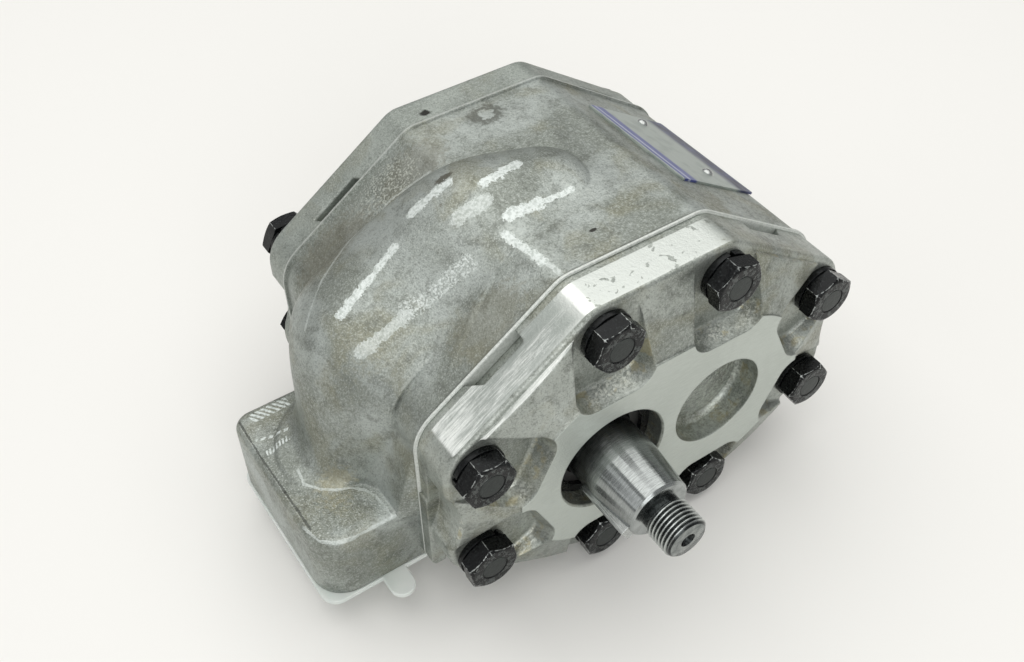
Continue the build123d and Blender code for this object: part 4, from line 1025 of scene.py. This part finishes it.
@dataclass(frozen=True)
class DriveShaft:
    """The drive gear's shaft, whose plain stub is cut a real thread with its run-out and crests."""

    shoulder: float = 24.2
    tip: float = 37.9
    crest: float = 8.0
    neck: float = 6.9
    neck_width: float = 2.4
    pitch: float = 1.5
    depth: float = 0.86
    chamfer: float = 1.2
    columns: int = 144
    step: float = 0.1

    def thread(self) -> tuple[np.ndarray, np.ndarray]:
        """Points and quads of the stub, as a radius over the angle and the distance along the axis.

        The radius is the crest less the depth times a rounded sawtooth of the phase, which is the distance over the
        pitch less the angle over a turn. The depth fades out at the neck, and the chamfer cuts the last turn.
        """
        along = np.arange(self.shoulder - 0.6, self.tip + self.step / 2, self.step)
        along[-1] = self.tip
        angle = np.arange(self.columns) * (2 * np.pi / self.columns)
        phase = (along[:, None] / self.pitch - angle[None, :] / (2 * np.pi)) % 1.0
        saw = np.abs(2 * phase - 1)
        groove = np.clip((saw - 0.14) / 0.72, 0, 1)
        groove = groove * groove * (3 - 2 * groove) * 0.35 + groove * 0.65
        from_neck = along - self.shoulder - self.neck_width
        grown = np.clip(from_neck / 0.9, 0, 1)[:, None]
        radius = self.neck + (self.crest - self.neck) * grown - self.depth * groove * grown
        radius = np.minimum(radius, (self.crest - self.chamfer) + (self.tip - along)[:, None])
        rings = np.concatenate((np.zeros((1, self.columns)), radius, np.full((1, self.columns), 2.7),
                                np.full((1, self.columns), 1.3), np.zeros((1, self.columns))))
        stations = np.concatenate((along[:1], along, [self.tip, self.tip - 2.6, self.tip - 5.0]))
        y = np.broadcast_to(-stations[:, None], rings.shape)
        points = np.stack((rings * np.cos(angle), y, rings * np.sin(angle)), axis=-1).reshape(-1, 3)
        return points, grid_quads(len(rings), self.columns)

    def build(self) -> list[bpy.types.Object]:
        """The shaft without its stub, and the threaded stub."""
        shape = welded("drive_gear_shaft")
        plane = (0, -(self.shoulder + 0.02) * MM, 0)
        bmesh.ops.bisect_plane(shape, geom=shape.verts[:] + shape.edges[:] + shape.faces[:], plane_co=plane,
                               plane_no=(0, -1, 0), clear_outer=True)
        bmesh.ops.holes_fill(shape, edges=[e for e in shape.edges if e.is_boundary])
        mesh = bpy.data.meshes.new("drive_gear_shaft_piece")
        shape.to_mesh(mesh)
        shape.free()
        mesh.shade_smooth()
        mesh.set_sharp_from_angle(angle=math.radians(28))
        turned_normals(mesh)
        shaft = mesh_piece("drive_gear_shaft_piece", mesh, SHAFT_STEEL, "drive_gear_shaft")
        points, quads = self.thread()
        stub = mesh_piece("shaft_thread", grid_mesh("shaft_thread", points, quads, 50), THREAD_STEEL,
                          "drive_gear_shaft")
        return [shaft, stub]


FRONT_PLACES = (
    BoltPlace(-47.2, 22.0, 24), BoltPlace(-47.2, -22.0, 8), BoltPlace(-0.8, 53.3, 41), BoltPlace(-0.6, -42.9, 17),
    BoltPlace(91.6, 22.0, 52), BoltPlace(91.6, -22.0, 33), BoltPlace(45.2, 53.3, 12), BoltPlace(45.0, -42.9, 46),
)
REAR_PLACES = tuple(BoltPlace(p.x, 45.56 if p.z > 50 else p.z, p.turn + 9) for p in FRONT_PLACES)


@dataclass(frozen=True)
class Dressing:
    """How one CAD node is finished when its own shape is right."""

    node: str
    finish: Finish
    round_mm: float = 0.0


DRESSINGS = (
    Dressing("pump_body", BODY, 0.5),
    Dressing("front_cover", COVER, 0.5),
    Dressing("rear_cover", REAR, 0.5),
    Dressing("shaft_key", KEY_STEEL, 0.25),
    Dressing("idler_gear_shaft", SHAFT_STEEL),
    Dressing("shaft_seal", RUBBER),
    Dressing("seal_garter_spring", KEY_STEEL),
    Dressing("seal_retaining_ring", BLACK_PLAIN),
    Dressing("front_cover_seal", RUBBER),
    Dressing("rear_cover_seal", RUBBER),
    Dressing("front_lock_washers", BLACK_PLAIN, 0.2),
    Dressing("rear_lock_washers", BLACK_PLAIN, 0.2),
    Dressing("dowel_pins", SHAFT_STEEL),
    Dressing("port_cover", CAP, 0.4),
    Dressing("nameplate", PLATE, 0.15),
    Dressing("nameplate_rivets", KEY_STEEL),
    Dressing("front_bearing_block", BLOCK),
    Dressing("rear_bearing_block", BLOCK),
    Dressing("front_pressure_seal", RUBBER),
    Dressing("rear_pressure_seal", RUBBER),
    Dressing("front_backup_ring", BACKUP),
    Dressing("rear_backup_ring", BACKUP),
    Dressing("drive_front_bush", BRONZE),
    Dressing("idler_front_bush", BRONZE),
    Dressing("drive_rear_bush", BRONZE),
    Dressing("idler_rear_bush", BRONZE),
    Dressing("pressure_port_seal", RUBBER),
    Dressing("suction_port_seal", RUBBER),
)


@dataclass(frozen=True)
class Studio:
    """Pale floor, soft lamps and the camera where the photograph was taken."""

    lens: float = 41.52
    camera_at: tuple[float, float, float] = (-156.85, -179.84, 307.66)
    camera_turn: tuple[float, float, float] = (2.289, -0.701, 0.269)
    floor_colour: str = "#e7e6e3"

    def camera(self) -> None:
        """A camera at the fitted place; its turn is a rotation vector of the view's axes, Y down and Z ahead."""
        vector = Vector(self.camera_turn)
        view = Matrix.Rotation(vector.length, 3, vector.normalized())
        axes = view.transposed() @ Matrix.Diagonal((1, -1, -1))
        data = bpy.data.cameras.new("camera")
        data.lens = self.lens
        data.sensor_width = 36
        data.clip_end = 10
        camera = bpy.data.objects.new("camera", data)
        bpy.context.scene.collection.objects.link(camera)
        camera.matrix_world = Matrix.Translation(Vector(self.camera_at) * MM) @ axes.to_4x4()
        bpy.context.scene.camera = camera

    def lamp(self, name: str, at: tuple[float, float, float], aim: tuple[float, float, float], size: float,
             power: float, colour: str) -> None:
        """A square lamp; at, aim and size are in metres.

        Args:
            name: the lamp's name.
            at: its middle.
            aim: the point that it faces.
            size: length of its side.
            power: its power in watts.
            colour: sRGB hex colour.
        """
        data = bpy.data.lights.new(name, "AREA")
        data.size = size
        data.energy = power
        data.color = linear(colour)[:3]
        lamp = bpy.data.objects.new(name, data)
        bpy.context.scene.collection.objects.link(lamp)
        towards = Vector(aim) - Vector(at)
        lamp.matrix_world = Matrix.Translation(Vector(at)) @ towards.to_track_quat("-Z", "Y").to_matrix().to_4x4()

    def floor(self) -> None:
        """A wide plane that the pump's lowest edge rests on."""
        low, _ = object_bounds()
        level = low[2]
        mesh = bpy.data.meshes.new("floor")
        mesh.from_pydata([(x, y, level) for x, y in ((-6, -6), (6, -6), (6, 6), (-6, 6))], [], [(0, 1, 2, 3)])
        floor = bpy.data.objects.new("floor", mesh)
        bpy.context.scene.collection.objects.link(floor)
        palette = Palette("studio_floor")
        palette.set(Base_Color=linear(self.floor_colour), Roughness=0.9, Specular_IOR_Level=0.1)
        mesh.materials.append(palette.material)
        floor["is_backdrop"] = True

    def build(self) -> None:
        """World, lamps, floor and camera."""
        world = bpy.data.worlds.new("studio")
        bpy.context.scene.world = world
        world.use_nodes = True
        background = world.node_tree.nodes["Background"]
        background.inputs["Color"].default_value = linear("#f3f4f4")
        background.inputs["Strength"].default_value = 0.42
        self.lamp("overhead_lamp", (0.15, 0.35, 1.2), (0.15, 0.35, 0.0), 2.0, 19, "#fffefb")
        self.lamp("front_lamp", (-0.6, -1.5, 0.85), (0.02, 0.0, 0.0), 1.3, 13, "#ffffff")
        self.lamp("left_lamp", (-1.6, 0.25, 0.75), (0.0, 0.05, 0.0), 1.2, 3, "#ffffff")
        self.floor()
        self.camera()
        view = bpy.context.scene.view_settings
        view.view_transform = "Standard"
        view.look = "None"


def main() -> None:
    """Dresses every node, builds the studio and keeps the sizes."""
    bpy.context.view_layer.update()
    for dressing in DRESSINGS:
        softened(dressing.node, dressing.node + "_piece", dressing.finish, dressing.round_mm)
    front_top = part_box("front_bolts")[0].y / MM
    front_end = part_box("front_bolts")[1].y / MM
    rear_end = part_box("rear_bolts")[0].y / MM
    rear_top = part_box("rear_bolts")[1].y / MM
    HexBolts("front_bolts", FRONT_PLACES, -1, front_top, front_end).build()
    HexBolts("rear_bolts", REAR_PLACES, 1, rear_top, rear_end).build()
    DriveShaft().build()
    Studio().build()


if __name__ == "__main__":
    logging.basicConfig(level=logging.INFO, format="%(name)s: %(message)s")
    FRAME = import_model()
    main()
